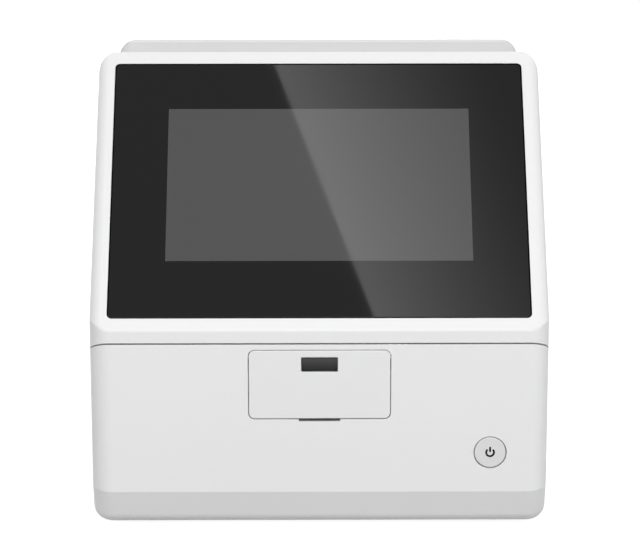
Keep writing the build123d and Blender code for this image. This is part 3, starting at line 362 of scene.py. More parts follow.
def skinned_mesh(name, bodies, looped=False):
    """Mesh of bodies, each a skin over equal outlines, with closed ends or the last joined to the first."""
    shape = bmesh.new()
    for outlines in bodies:
        rings = [[shape.verts.new(point) for point in outline] for outline in outlines]
        if looped:
            rings.append(rings[0])
        else:
            shape.faces.new(rings[0])
            shape.faces.new(rings[-1])
        for near, far in zip(rings, rings[1:]):
            banded(shape, near, far)
    return finished(shape, name)


def add_piece(name, mesh, body, finish):
    """Puts a finished mesh in the scene, on its body and with its material."""
    mesh.materials.clear()
    mesh.materials.append(finish)
    piece = new_object(name, mesh)
    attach(piece, body)
    return piece


mark_ink, tree, shader, place = surface("mark_ink", (0.003, 0.003, 0.003), 0.6, 0.1)
vary_gloss(tree, shader, noise(tree, place, 5000.0), 0.35, 0.55)
arc_steps = 40
arc_turns = [mark_gap + 2 * (pi - mark_gap) * step / arc_steps for step in range(arc_steps + 1)]
arc = [(mark_radius * sin(turn), mark_radius * cos(turn)) for turn in arc_turns]
bar = [(0, mark_bar_foot + mark_stroke / 2), (0, mark_bar_top - mark_stroke / 2)]
mark_bodies = [
    [[cap_centre + Vector((x, y, z)) for x, z in outline] for y in (-mark_height, mark_sink)]
    for outline in (rounded_stroke(arc, mark_stroke), rounded_stroke(bar, mark_stroke))
]
add_piece("standby_mark", skinned_mesh("standby_mark", mark_bodies), "button", mark_ink)

# Cover glass: toughened glass stuck on the gasket in the display frame, printed black behind its
# border, with a grey window where the display lies. Its edge is ground.
lean = radians(38.2)
fold_y, fold_z = -0.120, 0.1196
window_width, window_height, window_start = 0.1766, 0.0994, 0.0438
border_black = (0.0042, 0.0042, 0.0043)
window_grey = (0.072, 0.072, 0.0725)


def between(tree, value, low, high):
    """1 where value lies between low and high, and 0 elsewhere."""
    above = reckoned(tree, "GREATER_THAN", value, low)
    below = reckoned(tree, "LESS_THAN", value, high)
    return reckoned(tree, "MULTIPLY", above, below)


glass_black, tree, shader, place = surface("glass_black", border_black, 0.03)
slope_start = fold_y * sin(lean) + fold_z * cos(lean)
on_slope = add_node(
    tree, "ShaderNodeMapping", {"Vector": place, "Rotation": (lean, 0, 0), "Location": (0, 0, -slope_start)}
)
split = axes(tree, on_slope.outputs[0])
across = between(tree, split["X"], -window_width / 2, window_width / 2)
along = between(tree, split["Z"], window_start, window_start + window_height)
window = reckoned(tree, "MULTIPLY", across, along)
vary_colour(tree, shader, window, border_black, window_grey)
smear = noise(tree, scaled(tree, place, (9, 30, 30)), 1.0, 5.0)
facing = add_node(
    tree, "ShaderNodeVectorMath",
    {0: add_node(tree, "ShaderNodeNewGeometry").outputs["True Normal"], 1: (0, -cos(lean), sin(lean))},
    operation="DOT_PRODUCT",
)
polished = reckoned(tree, "GREATER_THAN", facing.outputs["Value"], 0.5)
gloss = add_node(tree, "ShaderNodeMix", {0: polished, 2: 0.85, 3: number_range(tree, smear, 0.015, 0.05)})
tree.links.new(gloss.outputs[0], shader.inputs["Roughness"])
tree.links.new(number_range(tree, polished, 0.03, 0.5), shader.inputs["Specular IOR Level"])
dress(glass_black, "cover_glass")

# Black mouldings: filled plastic with a fine mould texture, clipped or screwed to the chassis, the
# bracket, the case and the rear cover.
black_plastic, tree, shader, place = surface("black_plastic", (0.022, 0.022, 0.024), 0.5, 0.45)
vary_gloss(tree, shader, noise(tree, place, 1800.0), 0.42, 0.6)
raise_by(tree, shader, noise(tree, place, 2400.0), 0.00004, 0.15)
dress(
    black_plastic, "button_holder", "card_guide", "fan_frame", "fan_rotor", "home_sensor",
    "optics_housing", "paper_well", "speaker", "card_carriage", "power_jack", "latch_magnet",
)

# Gasket under the glass: a die-cut strip of black foam tape, stuck to the ledge of the display
# frame.
gasket_foam, tree, shader, place = surface("gasket_foam", (0.006, 0.006, 0.006), 0.9, 0.05)
cells = noise(tree, place, 6000.0, 2.0)
vary_colour(tree, shader, cells, (0.004, 0.004, 0.004), (0.009, 0.009, 0.009))
raise_by(tree, shader, cells, 0.0001, 0.5)
dress(gasket_foam, "glass_gasket")

# Card port: a black rubber dust flap hangs in the door's port from its upper edge, and the card
# pushes it aside. A black liner behind the finger slit under the door is painted shade, standing in
# for the shadow inside the slit.
flap_half = 0.0100
flap_foot, flap_top = 0.0962, 0.1038
flap_section = (
    (0.0014, 0.1042), (0.0017, 0.0972), (0.0013, 0.0966), (0.0015, 0.0959),
    (0.0022, 0.0956), (0.0028, 0.0961), (0.0028, 0.0970), (0.0026, 0.1042),
)
slit_half, slit_low, slit_high = 0.0116, 0.06695, 0.06785
slit_sink = 0.0007
slit_depth = 0.0012

flap_rubber, tree, shader, place = surface("flap_rubber", (0.04, 0.04, 0.042), 0.75, 0.3)
# The flap is painted lighter towards its top edge and darker towards its foot: painted light, as if lit from
# above.
level = axes(tree, place)["Z"]
painted_light_fade = add_node(tree, "ShaderNodeMapRange", {"Value": level, "From Min": flap_foot, "From Max": flap_top})
vary_colour(tree, shader, painted_light_fade.outputs[0], (0.008, 0.008, 0.0085), (0.066, 0.066, 0.067))
raise_by(tree, shader, noise(tree, place, 3000.0), 0.00005, 0.3)
door_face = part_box("access_door")[0][1]
flap_sides = [
    [(side * flap_half, door_face + sink, height) for sink, height in flap_section] for side in (-1, 1)
]
add_piece("dust_flap", skinned_mesh("dust_flap", [flap_sides]), "door", flap_rubber)

# The liner's black is painted shade for the inside of the finger slit.
slit_height = slit_high - slit_low
slit_middle = (slit_low + slit_high) / 2
slit_outline = rounded_stroke([(side * (slit_half - slit_height / 2), 0) for side in (-1, 1)], slit_height)
slit_faces = [
    [(x, door_face + sink, slit_middle + z) for x, z in slit_outline]
    for sink in (slit_sink, slit_sink + slit_depth)
]
add_piece("slit_liner", skinned_mesh("slit_liner", [slit_faces]), "case", black_plastic)

# Sheet parts: pressed from zinc-plated steel, with the spangle of the plating and fine rolling
# lines. The display panel behind the glass has a grey face and a folded metal back.
zinc_dark, zinc_light = (0.46, 0.47, 0.49), (0.62, 0.63, 0.65)


def metal(name, dark, light, low, high, spots, stretch):
    """Metal whose tone and gloss vary in spots to the metre, stretched along the axes."""
    finish, tree, shader, place = surface(name, light, low, 0.5, 1.0)
    pattern = noise(tree, scaled(tree, place, stretch), spots, 4.0)
    vary_colour(tree, shader, pattern, dark, light)
    vary_gloss(tree, shader, pattern, low, high)
    raise_by(tree, shader, pattern, 0.00002, 0.25)
    return finish


def patches(tree, vector, scale, **settings):
    """Three chance values for each patch of a mosaic."""
    mosaic = add_node(tree, "ShaderNodeTexVoronoi", {"Vector": vector, "Scale": scale}, **settings)
    return add_node(tree, "ShaderNodeSeparateColor", {0: mosaic.outputs["Color"]}).outputs


sheet_steel, tree, shader, place = surface("sheet_steel", zinc_light, 0.35, 0.5, 1.0)
spangle = patches(tree, place, 160.0)[0]
vary_colour(tree, shader, spangle, zinc_dark, zinc_light)
vary_gloss(tree, shader, spangle, 0.26, 0.48)
rolled = noise(tree, scaled(tree, place, (1, 12, 12)), 240.0)
raise_by(tree, shader, rolled, 0.00003, 0.3)
dress(sheet_steel, "panel_tray", "bay_bracket", "chassis_plate", "door_strike", "print_head")
dress(
    metal("panel_metal", (0.30, 0.30, 0.31), (0.42, 0.42, 0.43), 0.3, 0.45, 60.0, (1, 1, 6)), "display_panel"
)

# Turned, ground and drawn steel: pins, rods, screws, the spring, and the motor's stack of plates
# between its end caps.
ground_steel = metal("ground_steel", (0.50, 0.50, 0.51), (0.66, 0.66, 0.67), 0.16, 0.32, 300.0, (1, 14, 1))
drawn_steel = metal("drawn_steel", (0.52, 0.52, 0.53), (0.66, 0.66, 0.67), 0.2, 0.36, 300.0, (14, 1, 1))
dress(ground_steel, "guide_rods", "button_spring", "chassis_screws")
dress(drawn_steel, "door_hinge_pins", "lid_hinge_pins")
motor_steel, tree, shader, place = surface("motor_steel", (0.3, 0.3, 0.31), 0.4, 0.5, 1.0)
motor_low, motor_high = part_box("stepper_motor")
plate_pitch = 0.0005
motor_cap = 0.004
stack = between(tree, axes(tree, place)["Y"], motor_low[1] + motor_cap, motor_high[1] - motor_cap)


def ruled(tree, place, pitch, axis):
    """Lines across an axis, pitch metres apart."""
    texture_rate = 20.0  # radians to the metre at a scale of 1
    wave = {"Vector": place, "Scale": 2 * pi / pitch / texture_rate, "Distortion": 0.0}
    return add_node(tree, "ShaderNodeTexWave", wave, bands_direction=axis).outputs["Fac"]


plates = ruled(tree, place, plate_pitch, "Y")
vary_colour(tree, shader, stack, (0.62, 0.62, 0.63), (0.10, 0.10, 0.11))
vary_gloss(tree, shader, stack, 0.3, 0.5)
raise_by(tree, shader, reckoned(tree, "MULTIPLY", plates, stack), 0.00006, 0.5)
dress(motor_steel, "stepper_motor")

# Small metal parts: brass nut, bearing and pillars are turned, and the heater under the card is a
# milled aluminium plate.
brass = metal("brass", (0.55, 0.39, 0.16), (0.72, 0.54, 0.26), 0.2, 0.36, 700.0, (1, 10, 1))
dress(brass, "lead_nut", "screw_bearing", "board_standoffs")
dress(
    metal("milled_aluminium", (0.60, 0.61, 0.62), (0.76, 0.77, 0.78), 0.25, 0.4, 500.0, (1, 12, 1)),
    "heater_plate",
)

# Lens of the optics: a polished disc of glass with a faint coating, seated in the bore of the
# optics housing.
lens_glass, tree, shader, place = surface("lens_glass", (0.80, 0.86, 0.90), 0.03)
shader.inputs["Transmission Weight"].default_value = 0.85
shader.inputs["IOR"].default_value = 1.5
coating = noise(tree, place, 400.0)
vary_colour(tree, shader, coating, (0.74, 0.80, 0.90), (0.84, 0.88, 0.92))
vary_gloss(tree, shader, coating, 0.02, 0.05)
dress(lens_glass, "optics_lens")

# Paper roll: thermal paper wound on a brown card core, lying loose in its well. The turns show on
# its ends.
paper_white, paper_shade, card_brown = (0.82, 0.82, 0.80), (0.70, 0.70, 0.68), (0.34, 0.22, 0.12)
core_radius = 0.006
turn_pitch = 0.0006
paper, tree, shader, place = surface("paper", paper_white, 0.7, 0.2)
roll_low, roll_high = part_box("paper_roll")
roll_centre = [(low + high) / 2 for low, high in zip(roll_low, roll_high)]
from_axis = add_node(
    tree, "ShaderNodeMapping",
    {"Vector": place, "Location": (0, -roll_centre[1], -roll_centre[2]), "Scale": (0, 1, 1)},
)
outwards = add_node(tree, "ShaderNodeVectorMath", {0: from_axis.outputs[0]}, operation="LENGTH")
radius = outwards.outputs["Value"]
wound = reckoned(tree, "MULTIPLY", radius, 2 * pi / turn_pitch)
turns = reckoned(tree, "SINE", wound)
on_core = reckoned(tree, "LESS_THAN", radius, core_radius)
turn_tone = add_node(tree, "ShaderNodeMapRange", {"Value": turns, "From Min": -1.0}).outputs[0]
ringed = shade_range(tree, turn_tone, paper_shade, paper_white)
roll_tone = add_node(tree, "ShaderNodeMix", {0: on_core, 6: ringed, 7: (*card_brown, 1)}, data_type="RGBA")
tree.links.new(roll_tone.outputs[2], shader.inputs["Base Color"])
raise_by(tree, shader, turns, 0.00003, 0.3)
dress(paper, "paper_roll")

# Circuit boards: green solder mask over runs of copper tracks. The blocks that stand on a board
# are black housings.
mask_green, track_green = (0.012, 0.085, 0.035), (0.03, 0.16, 0.07)
housing_black = (0.02, 0.02, 0.021)
track_pitch = 0.0012
board_thickness = 0.0016
display_board_depth = 0.0134
face_margin = 0.00005
past_every_part = 1.0


def board_paint(name, outward, face):
    """Green board whose housings begin face metres along outward."""
    finish, tree, shader, place = surface(name, mask_green, 0.35)
    cell = patches(tree, place, 110.0, distance="MANHATTAN")
    across, upright = [ruled(tree, place, track_pitch, axis) for axis in ("X", "Y")]
    turned = reckoned(tree, "GREATER_THAN", cell[0], 0.5)
    lines = add_node(tree, "ShaderNodeMix", {0: turned, 2: across, 3: upright}).outputs[0]
    sharp = reckoned(tree, "GREATER_THAN", lines, 0.6)
    routed = reckoned(tree, "GREATER_THAN", cell[1], 0.3)
    track = reckoned(tree, "MULTIPLY", sharp, routed)
    level = add_node(tree, "ShaderNodeVectorMath", {0: place, 1: outward}, operation="DOT_PRODUCT")
    housed = reckoned(tree, "GREATER_THAN", level.outputs["Value"], face + face_margin)
    mask = shade_range(tree, track, mask_green, track_green)
    tone = add_node(tree, "ShaderNodeMix", {0: housed, 6: mask, 7: (*housing_black, 1)}, data_type="RGBA")
    tree.links.new(tone.outputs[2], shader.inputs["Base Color"])
    vary_gloss(tree, shader, housed, 0.28, 0.55)
    raise_by(tree, shader, track, 0.00004, 0.5)
    return finish


slope_inward = (0, cos(lean), -sin(lean))
display_back = fold_y * cos(lean) - fold_z * sin(lean) + display_board_depth
main_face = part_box("main_board")[0][2] + board_thickness
lamp_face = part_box("lamp_board")[0][2] + board_thickness
switch_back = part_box("switch_board")[1][1]
dress(board_paint("main_mask", (0, 0, 1), main_face), "main_board")
dress(board_paint("lamp_mask", (0, 0, 1), lamp_face), "lamp_board")
dress(board_paint("switch_mask", (0, -1, 0), -switch_back + board_thickness), "switch_board")
dress(board_paint("detector_mask", (0, 1, 0), past_every_part), "detector_board")
dress(board_paint("display_mask", slope_inward, display_back), "display_board")

# Rear connectors: nickel-plated shells round black or grey insulators, soldered to the main
# board's edge and reaching through the rear wall.
nickel = (0.62, 0.61, 0.58)
insulator_black, insulator_grey = (0.02, 0.02, 0.021), (0.24, 0.24, 0.25)


def shell_paint(name, insulators, colour):
    """Plated metal, with an insulator inside each box (centre x, centre z, half x, half z, y range)."""
    finish, tree, shader, place = surface(name, nickel, 0.28, 0.5, 1.0)
    split = axes(tree, place)
    inside = None
    for x, z, half_x, half_z, y_range in insulators:
        parts = (
            between(tree, split["X"], x - half_x, x + half_x),
            between(tree, split["Z"], z - half_z, z + half_z),
            between(tree, split["Y"], *y_range),
        )
        block = reckoned(tree, "MULTIPLY", reckoned(tree, "MULTIPLY", parts[0], parts[1]), parts[2])
        inside = block if inside is None else reckoned(tree, "MAXIMUM", inside, block)
    vary_colour(tree, shader, inside, nickel, colour)
    tree.links.new(number_range(tree, inside, 1.0, 0.0), shader.inputs["Metallic"])
    vary_gloss(tree, shader, inside, 0.28, 0.5)
    raise_by(tree, shader, noise(tree, place, 3000.0), 0.00002, 0.2)
    return finish


connector_rim, usb_tongue, back_margin = 0.0001, 0.001, 0.001
socket_low, socket_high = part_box("network_socket")
connector_face, connector_back = socket_high[1], socket_low[1] - back_margin
network_x, network_z = -0.044, 0.0279
usb_x, usb_rows = -0.070, (0.0262, 0.0338)
serial_x, serial_z = -0.012, 0.0274
serial_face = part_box("serial_plug")[1][1]
usb_range = (connector_back, connector_face - usb_tongue)
network_range = (connector_back, connector_face - connector_rim)
serial_range = (connector_face + connector_rim, past_every_part)
usb_tongues = [(usb_x, row, 0.00555, 0.00095, usb_range) for row in usb_rows]
network_inside = [(network_x, network_z, 0.00595, 0.00415, network_range)]
serial_inside = [(serial_x, serial_z, 0.0085, 0.0036, serial_range)]
dress(shell_paint("network_shell", network_inside, insulator_black), "network_socket")
dress(shell_paint("usb_shell", usb_tongues, insulator_black), "usb_sockets")
dress(shell_paint("serial_shell", serial_inside, insulator_grey), "serial_plug")

# Contacts of the connectors: stamped, gold-plated springs and pads in rows, the sockets of the
# serial plug, and the two hexagonal jack posts beside it.
network_pitch, usb_pitch, serial_pitch = 0.00102, 0.0022, 0.00277
network_contact = (0.0004, 0.0065, 0.0003)
usb_contact = (0.0010, 0.0075, 0.00016)
network_inset, network_rise = 0.0085, 0.0026
usb_inset, usb_drop = 0.0055, 0.0009
spring_dip = radians(-11)
hole_profile = (
    (0, -0.0004), (0.0006, -0.0004), (0.0006, 0.0), (0.0004, 0.00004), (0.0004, -0.0002), (0, -0.0002),
)
post_spread = 0.0125
post_profile = (
    (0, -0.002), (0.0024, -0.002), (0.0024, -0.0003), (0.0022, -0.0001),
    (0.0013, -0.0001), (0.0013, -0.0014), (0, -0.0014),
)


def box_mesh(name, size, place=(0, 0, 0), bevel=0.0):
    """Box with that size, centred on place, with its edges bevelled."""
    shape = bmesh.new()
    bmesh.ops.create_cube(shape, size=1.0)
    bmesh.ops.scale(shape, vec=size, verts=shape.verts)
    if bevel:
        bmesh.ops.bevel(shape, geom=shape.edges[:], offset=bevel, segments=2, profile=0.5, affect="EDGES")
    bmesh.ops.translate(shape, vec=place, verts=shape.verts)
    return finished(shape, name)


def points_mesh(name, places):
    """Loose points at places, each (x, y, z, facing, size), for a geometry tree to grow copies on."""
    mesh = bpy.data.meshes.new(name)
    mesh.from_pydata([place[:3] for place in places], [], [])
    mesh.attributes.new("facing", "FLOAT_VECTOR", "POINT")
    mesh.attributes.new("size", "FLOAT", "POINT")
    for index, place in enumerate(places):
        mesh.attributes["facing"].data[index].vector = place[3]
        mesh.attributes["size"].data[index].value = place[4]
    return mesh


def grown_mesh(name, base, grow, finish, **values):
    """Plain mesh made from the base mesh by a geometry tree. grow fills the tree from its inputs."""
    tree = bpy.data.node_groups.new(name, "GeometryNodeTree")
    for way in ("INPUT", "OUTPUT"):
        tree.interface.new_socket("Geometry", in_out=way, socket_type="NodeSocketGeometry")
    kinds = {bpy.types.Object: "NodeSocketObject", int: "NodeSocketInt", float: "NodeSocketFloat"}
    keys = {
        label: tree.interface.new_socket(label, in_out="INPUT", socket_type=kinds[type(value)]).identifier
        for label, value in values.items()
    }
    start = add_node(tree, "NodeGroupInput")
    end = add_node(tree, "NodeGroupOutput")
    real = add_node(tree, "GeometryNodeRealizeInstances", {"Geometry": grow(tree, start.outputs)})
    painted = add_node(tree, "GeometryNodeSetMaterial", {"Geometry": real.outputs[0], "Material": finish})
    tree.links.new(painted.outputs[0], end.inputs[0])
    holder = new_object(name, base)
    growth = holder.modifiers.new(name, "NODES")
    growth.node_group = tree
    for label, value in values.items():
        growth[keys[label]] = value
    grown = holder.evaluated_get(bpy.context.evaluated_depsgraph_get())
    mesh = bpy.data.meshes.new_from_object(grown)
    holder.modifiers.remove(growth)
    bpy.data.objects.remove(holder)
    return mesh


def turned_copies(tree, given, points, facing, angle, size=(1, 1, 1)):
    """A copy of the Shape object on each point, facing as told and then turned by the angle."""
    source = add_node(tree, "GeometryNodeObjectInfo", {"Object": given["Shape"], "As Instance": True})
    put = add_node(
        tree, "GeometryNodeInstanceOnPoints",
        {"Points": points, "Instance": source.outputs["Geometry"], "Rotation": facing, "Scale": size},
    )
    spin = add_node(tree, "ShaderNodeCombineXYZ", {2: angle})
    return add_node(
        tree, "GeometryNodeRotateInstances",
        {"Instances": put.outputs[0], "Rotation": spin.outputs[0], "Local Space": True},
    ).outputs[0]


def copies(tree, given):
    """Copies facing as their points say, each turned by a chance angle up to Spin."""
    facing = add_node(tree, "GeometryNodeInputNamedAttribute", {"Name": "facing"}, data_type="FLOAT_VECTOR")
    size = add_node(tree, "GeometryNodeInputNamedAttribute", {"Name": "size"}, data_type="FLOAT")
    chance = add_node(
        tree, "FunctionNodeRandomValue", {2: 0.0, 3: given["Spin"], "Seed": given["Seed"]}, data_type="FLOAT"
    )
    spin = chance.outputs[1]
    return turned_copies(tree, given, given["Geometry"], facing.outputs[0], spin, size.outputs[0])


def copied(name, mesh, places, finish, spin=0.0, seed=1):
    """Plain mesh of copies of mesh on places."""
    source = new_object(name + "_source", mesh)
    points = points_mesh(name + "_places", places)
    result = grown_mesh(name, points, copies, finish, Shape=source, Spin=spin, Seed=seed)
    bpy.data.objects.remove(source)
    return result


gold = metal("contact_gold", (0.66, 0.46, 0.14), (0.85, 0.62, 0.24), 0.2, 0.34, 900.0, (1, 1, 1))
network_places = [
    (network_x + (index - 3.5) * network_pitch, connector_face - network_inset, network_z + network_rise,
     (spring_dip, 0, 0), 1.0)
    for index in range(8)
]
network_spring = box_mesh("network_spring", network_contact, bevel=0.0001)
network_contacts = copied("network_contacts", network_spring, network_places, gold)
add_piece("network_contacts", network_contacts, "case", gold)
usb_places = [
    (usb_x + (index - 1.5) * usb_pitch, connector_face - usb_inset, row - usb_drop, (0, 0, 0), 1.0)
    for row in usb_rows for index in range(4)
]
usb_contacts = copied("usb_contacts", box_mesh("usb_pad", usb_contact, bevel=0.00004), usb_places, gold)
add_piece("usb_contacts", usb_contacts, "case", gold)


def ring_points(radius, height, steps):
    """Points round the Z axis at a height."""
    turns = [2 * pi * step / steps for step in range(steps)]
    return [(radius * cos(turn), radius * sin(turn), height) for turn in turns]


def spun_mesh(name, profile, steps, facing=(0, 0, 1), place=(0, 0, 0)):
    """Solid of revolution about facing, from (radius, height) pairs that start and end on the axis."""
    shape = bmesh.new()
    turn = Vector((0, 0, 1)).rotation_difference(Vector(facing)).to_matrix()
    rings = []
    for radius, height in profile:
        points = ring_points(radius, height, steps) if radius else [(0, 0, height)]
        rings.append([shape.verts.new(turn @ Vector(point) + Vector(place)) for point in points])
    for lower, upper in zip(rings, rings[1:]):
        for step in range(steps):
            following = (step + 1) % steps
            corners = [lower[step % len(lower)], lower[following % len(lower)],
                       upper[following % len(upper)], upper[step % len(upper)]]
            shape.faces.new(list(dict.fromkeys(corners)))
    return finished(shape, name)


to_rear = (radians(-90), 0, 0)
serial_places = [
    (serial_x + (index - (count - 1) / 2) * serial_pitch, serial_face, serial_z + row * serial_pitch / 2,
     to_rear, 1.0)
    for count, row in ((5, 1), (4, -1)) for index in range(count)
]
serial_hole = spun_mesh("serial_hole", hole_profile, 16)
serial_contacts = copied("serial_contacts", serial_hole, serial_places, gold)
add_piece("serial_contacts", serial_contacts, "case", gold)
post_places = [(serial_x + side * post_spread, serial_face, serial_z, to_rear, 1.0) for side in (-1, 1)]
jack_posts = copied("jack_posts", spun_mesh("jack_post", post_profile, 6), post_places, ground_steel)
add_piece("jack_posts", jack_posts, "case", ground_steel)

# Screws: low pan heads with a cross recess, driven from below through the case into the chassis,
# and inside the case into the boards, bracket, fan, tray and speaker.
head_radius, head_height = 0.0032, 0.0012
head_flat, head_side = 0.82, 0.55
shank_radius, shank_length, shank_straight, shank_tip = 0.0015, 0.0090, 0.9, 0.6
cross_half, cross_reach, cross_depth, cross_taper = 0.00042, 0.0018, 0.0009, 0.75
speaker_middle = (0.075, -0.060)
speaker_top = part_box("speaker")[1][2]
detector_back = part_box("detector_board")[1][1]
fan_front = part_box("fan_frame")[0][1]
post_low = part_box("chassis_screws")[0][2]
bracket_face = 0.0130
view_middle = 0.0935
tray_depth = 0.0115


def cross_screw(name):
    """Pan head with a cross recess on a plain shank, seated at the origin and facing up."""
    shape = bmesh.new()
    steps = 24
    near, far = cross_half, cross_reach
    quarter = [(near, far), (-near, far), (-near, near)]
    cross = [
        (x * cos_turn - y * sin_turn, x * sin_turn + y * cos_turn)
        for cos_turn, sin_turn in ((1, 0), (0, 1), (-1, 0), (0, -1)) for x, y in quarter
    ]
    rim = [point[:2] for point in ring_points(head_flat * head_radius, head_height, steps)]
    loops = [[Vector((x, y, 0)) for x, y in rim], [Vector((x, y, 0)) for x, y in cross]]
    top = [shape.verts.new((x, y, head_height)) for x, y in rim + cross]
    for triangle in tessellate_polygon(loops):
        shape.faces.new([top[index] for index in triangle])
    floor_level = head_height - cross_depth
    floor = [shape.verts.new((cross_taper * x, cross_taper * y, floor_level)) for x, y in cross]
    banded(shape, top[steps:], floor)
    shape.faces.new(floor)
    outside = (
        (head_radius, head_side * head_height), (head_radius, 0.0), (shank_radius, 0.0),
        (shank_radius, -shank_straight * shank_length), (shank_tip * shank_radius, -shank_length),
    )
    upper = top[:steps]
    for radius, height in outside:
        lower = [shape.verts.new(point) for point in ring_points(radius, height, steps)]
        banded(shape, upper, lower)
        upper = lower
    shape.faces.new(upper)
    return finished(shape, name)


def slope_point(x, along, into):
    """Place on the inclined front: across, up the slope from the fold, and in from its face."""
    return (x, fold_y + along * sin(lean) + into * cos(lean), fold_z + along * cos(lean) - into * sin(lean))


upward, downward = (0, 0, 0), (pi, 0, 0)
to_front = (radians(90), 0, 0)
to_back_slope = (radians(-90) - lean, 0, 0)
screw_places = [
    (side * 0.108, 0.005 + row * 0.067, post_low + head_height, downward, 1.0)
    for side in (-1, 1) for row in (-1, 0, 1)
]
# Sets of four inside the case, level ones as middle, distances from it, facing and scale, and those
# on the inclined front as depth, distances across and up the slope, and scale.
level_fours = (
    ((-0.052, 0.074, main_face), (0.050, 0.036, 0), upward, 0.85),
    ((0, -0.062, bracket_face), (0.041, 0.030, 0), upward, 0.9),
    ((0, -0.050, lamp_face), (0.0125, 0.0105, 0), upward, 0.6),
    ((*speaker_middle, speaker_top), (0.014, 0.019, 0), upward, 0.7),
    ((0, detector_back, 0.1208), (0.014, 0, 0.011), to_rear, 0.6),
    ((0.0976, switch_back, 0.0475), (0.011, 0, 0.008), to_rear, 0.6),
    ((0.072, fan_front, 0.050), (0.025, 0, 0.025), to_front, 0.9),
)
slope_fours = ((tray_depth, 0.1033, 0.0497, 0.9), (display_board_depth, 0.0560, 0.0260, 0.7))
for side in (-1, 1):
    for end in (-1, 1):
        for middle, spread, facing, size in level_fours:
            spot = [at + sign * gap for at, sign, gap in zip(middle, (side, end, end), spread)]
            screw_places.append((*spot, facing, size))
        for depth, across, upwards, size in slope_fours:
            spot = slope_point(side * across, view_middle + end * upwards, depth)
            screw_places.append((*spot, to_back_slope, size))
screw_steel = metal("screw_steel", (0.40, 0.40, 0.41), (0.58, 0.58, 0.59), 0.24, 0.4, 800.0, (1, 1, 1))
screws = copied("cross_screws", cross_screw("cross_screw"), screw_places, screw_steel, spin=2 * pi, seed=7)
screw_piece = add_piece("cross_screws", screws, "case", screw_steel)
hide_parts("chassis_screws")

# Lead screw: rolled left-hand thread with two starts, 4 mm of travel to the turn, between plain
# ends that sit in the bearing and the motor.
thread_lead = 0.004
thread_crest, thread_root = 0.00196, 0.00155
thread_start, thread_end = -0.1090, -0.0215
thread_length = thread_end - thread_start
end_radius, end_chamfer, thread_relief = 0.0019, 0.0003, 0.0002
screw_low, screw_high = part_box("lead_screw")
screw_z = (screw_low[2] + screw_high[2]) / 2


def threaded(tree, given):
    """Two helical ridges along Y, half a turn apart, joined to the base core."""
    helix = add_node(
        tree, "GeometryNodeCurveSpiral",
        {"Resolution": 20, "Rotations": given["Turns"], "Start Radius": given["Root"],
         "End Radius": given["Root"], "Height": given["Length"], "Reverse": True},
    )
    ridge = add_node(
        tree, "GeometryNodeCurvePrimitiveCircle", {"Resolution": 4, "Radius": given["Ridge"]}, mode="RADIUS"
    )
    first = add_node(
        tree, "GeometryNodeCurveToMesh",
        {"Curve": helix.outputs[0], "Profile Curve": ridge.outputs[0], "Fill Caps": True},
    )
    second = add_node(tree, "GeometryNodeTransform", {"Geometry": first.outputs[0], "Rotation": (0, 0, pi)})
    both = add_node(tree, "GeometryNodeJoinGeometry", {"Geometry": first.outputs[0]})
    tree.links.new(second.outputs[0], both.inputs[0])
    laid = add_node(
        tree, "GeometryNodeTransform",
        {"Geometry": both.outputs[0], "Rotation": (-pi / 2, 0, 0), "Translation": (0, thread_start, screw_z)},
    )
    whole = add_node(tree, "GeometryNodeJoinGeometry", {"Geometry": laid.outputs[0]})
    tree.links.new(given["Geometry"], whole.inputs[0])
    return whole.outputs[0]


rod_profile = (
    (0, screw_low[1]), (end_radius - end_chamfer, screw_low[1]), (end_radius, screw_low[1] + end_chamfer),
    (end_radius, thread_start - thread_relief), (thread_root, thread_start), (thread_root, thread_end),
    (end_radius, thread_end + thread_relief), (end_radius, screw_high[1]), (0, screw_high[1]),
)
rod_core = spun_mesh("rod_core", rod_profile, 24, (0, 1, 0), (0, 0, screw_z))
thread_mesh = grown_mesh(
    "threaded_rod", rod_core, threaded, ground_steel, Turns=thread_length / thread_lead,
    Root=thread_root, Length=thread_length, Ridge=thread_crest - thread_root,
)
rod_piece = add_piece("threaded_rod", thread_mesh, "screw", ground_steel)
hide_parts("lead_screw")

# Parts on the boards: small ceramic chips, placed by machine and soldered. They fill the free areas
# of the main board and of the display board's back.
chip_size = (0.0020, 0.00125, 0.0007)
chip_spacing = 0.0034
chip_density = 60000.0
main_areas = (
    (-0.104, -0.006, 0.083, 0.101), (-0.049, -0.037, 0.036, 0.080), (-0.018, 0.002, 0.054, 0.080),
    (-0.105, -0.079, 0.034, 0.051), (-0.078, -0.032, 0.034, 0.050),
)
display_areas = (
    (-0.056, -0.013, -0.010, 0.025), (-0.018, 0.055, -0.028, -0.013), (0.012, 0.024, -0.010, 0.028),
)


def populated(tree, given):
    """Copies of the Shape object on the base areas, no closer than Spacing, turned by quarter turns."""
    spread = add_node(
        tree, "GeometryNodeDistributePointsOnFaces",
        {"Mesh": given["Geometry"], "Distance Min": given["Spacing"], "Density Max": chip_density,
         "Seed": given["Seed"]},
        distribute_method="POISSON",
    )
    chance = add_node(tree, "FunctionNodeRandomValue", {4: 0, 5: 1, "Seed": given["Seed"]}, data_type="INT")
    quarter = reckoned(tree, "MULTIPLY", chance.outputs[2], pi / 2)
    return turned_copies(tree, given, spread.outputs["Points"], spread.outputs["Rotation"], quarter)


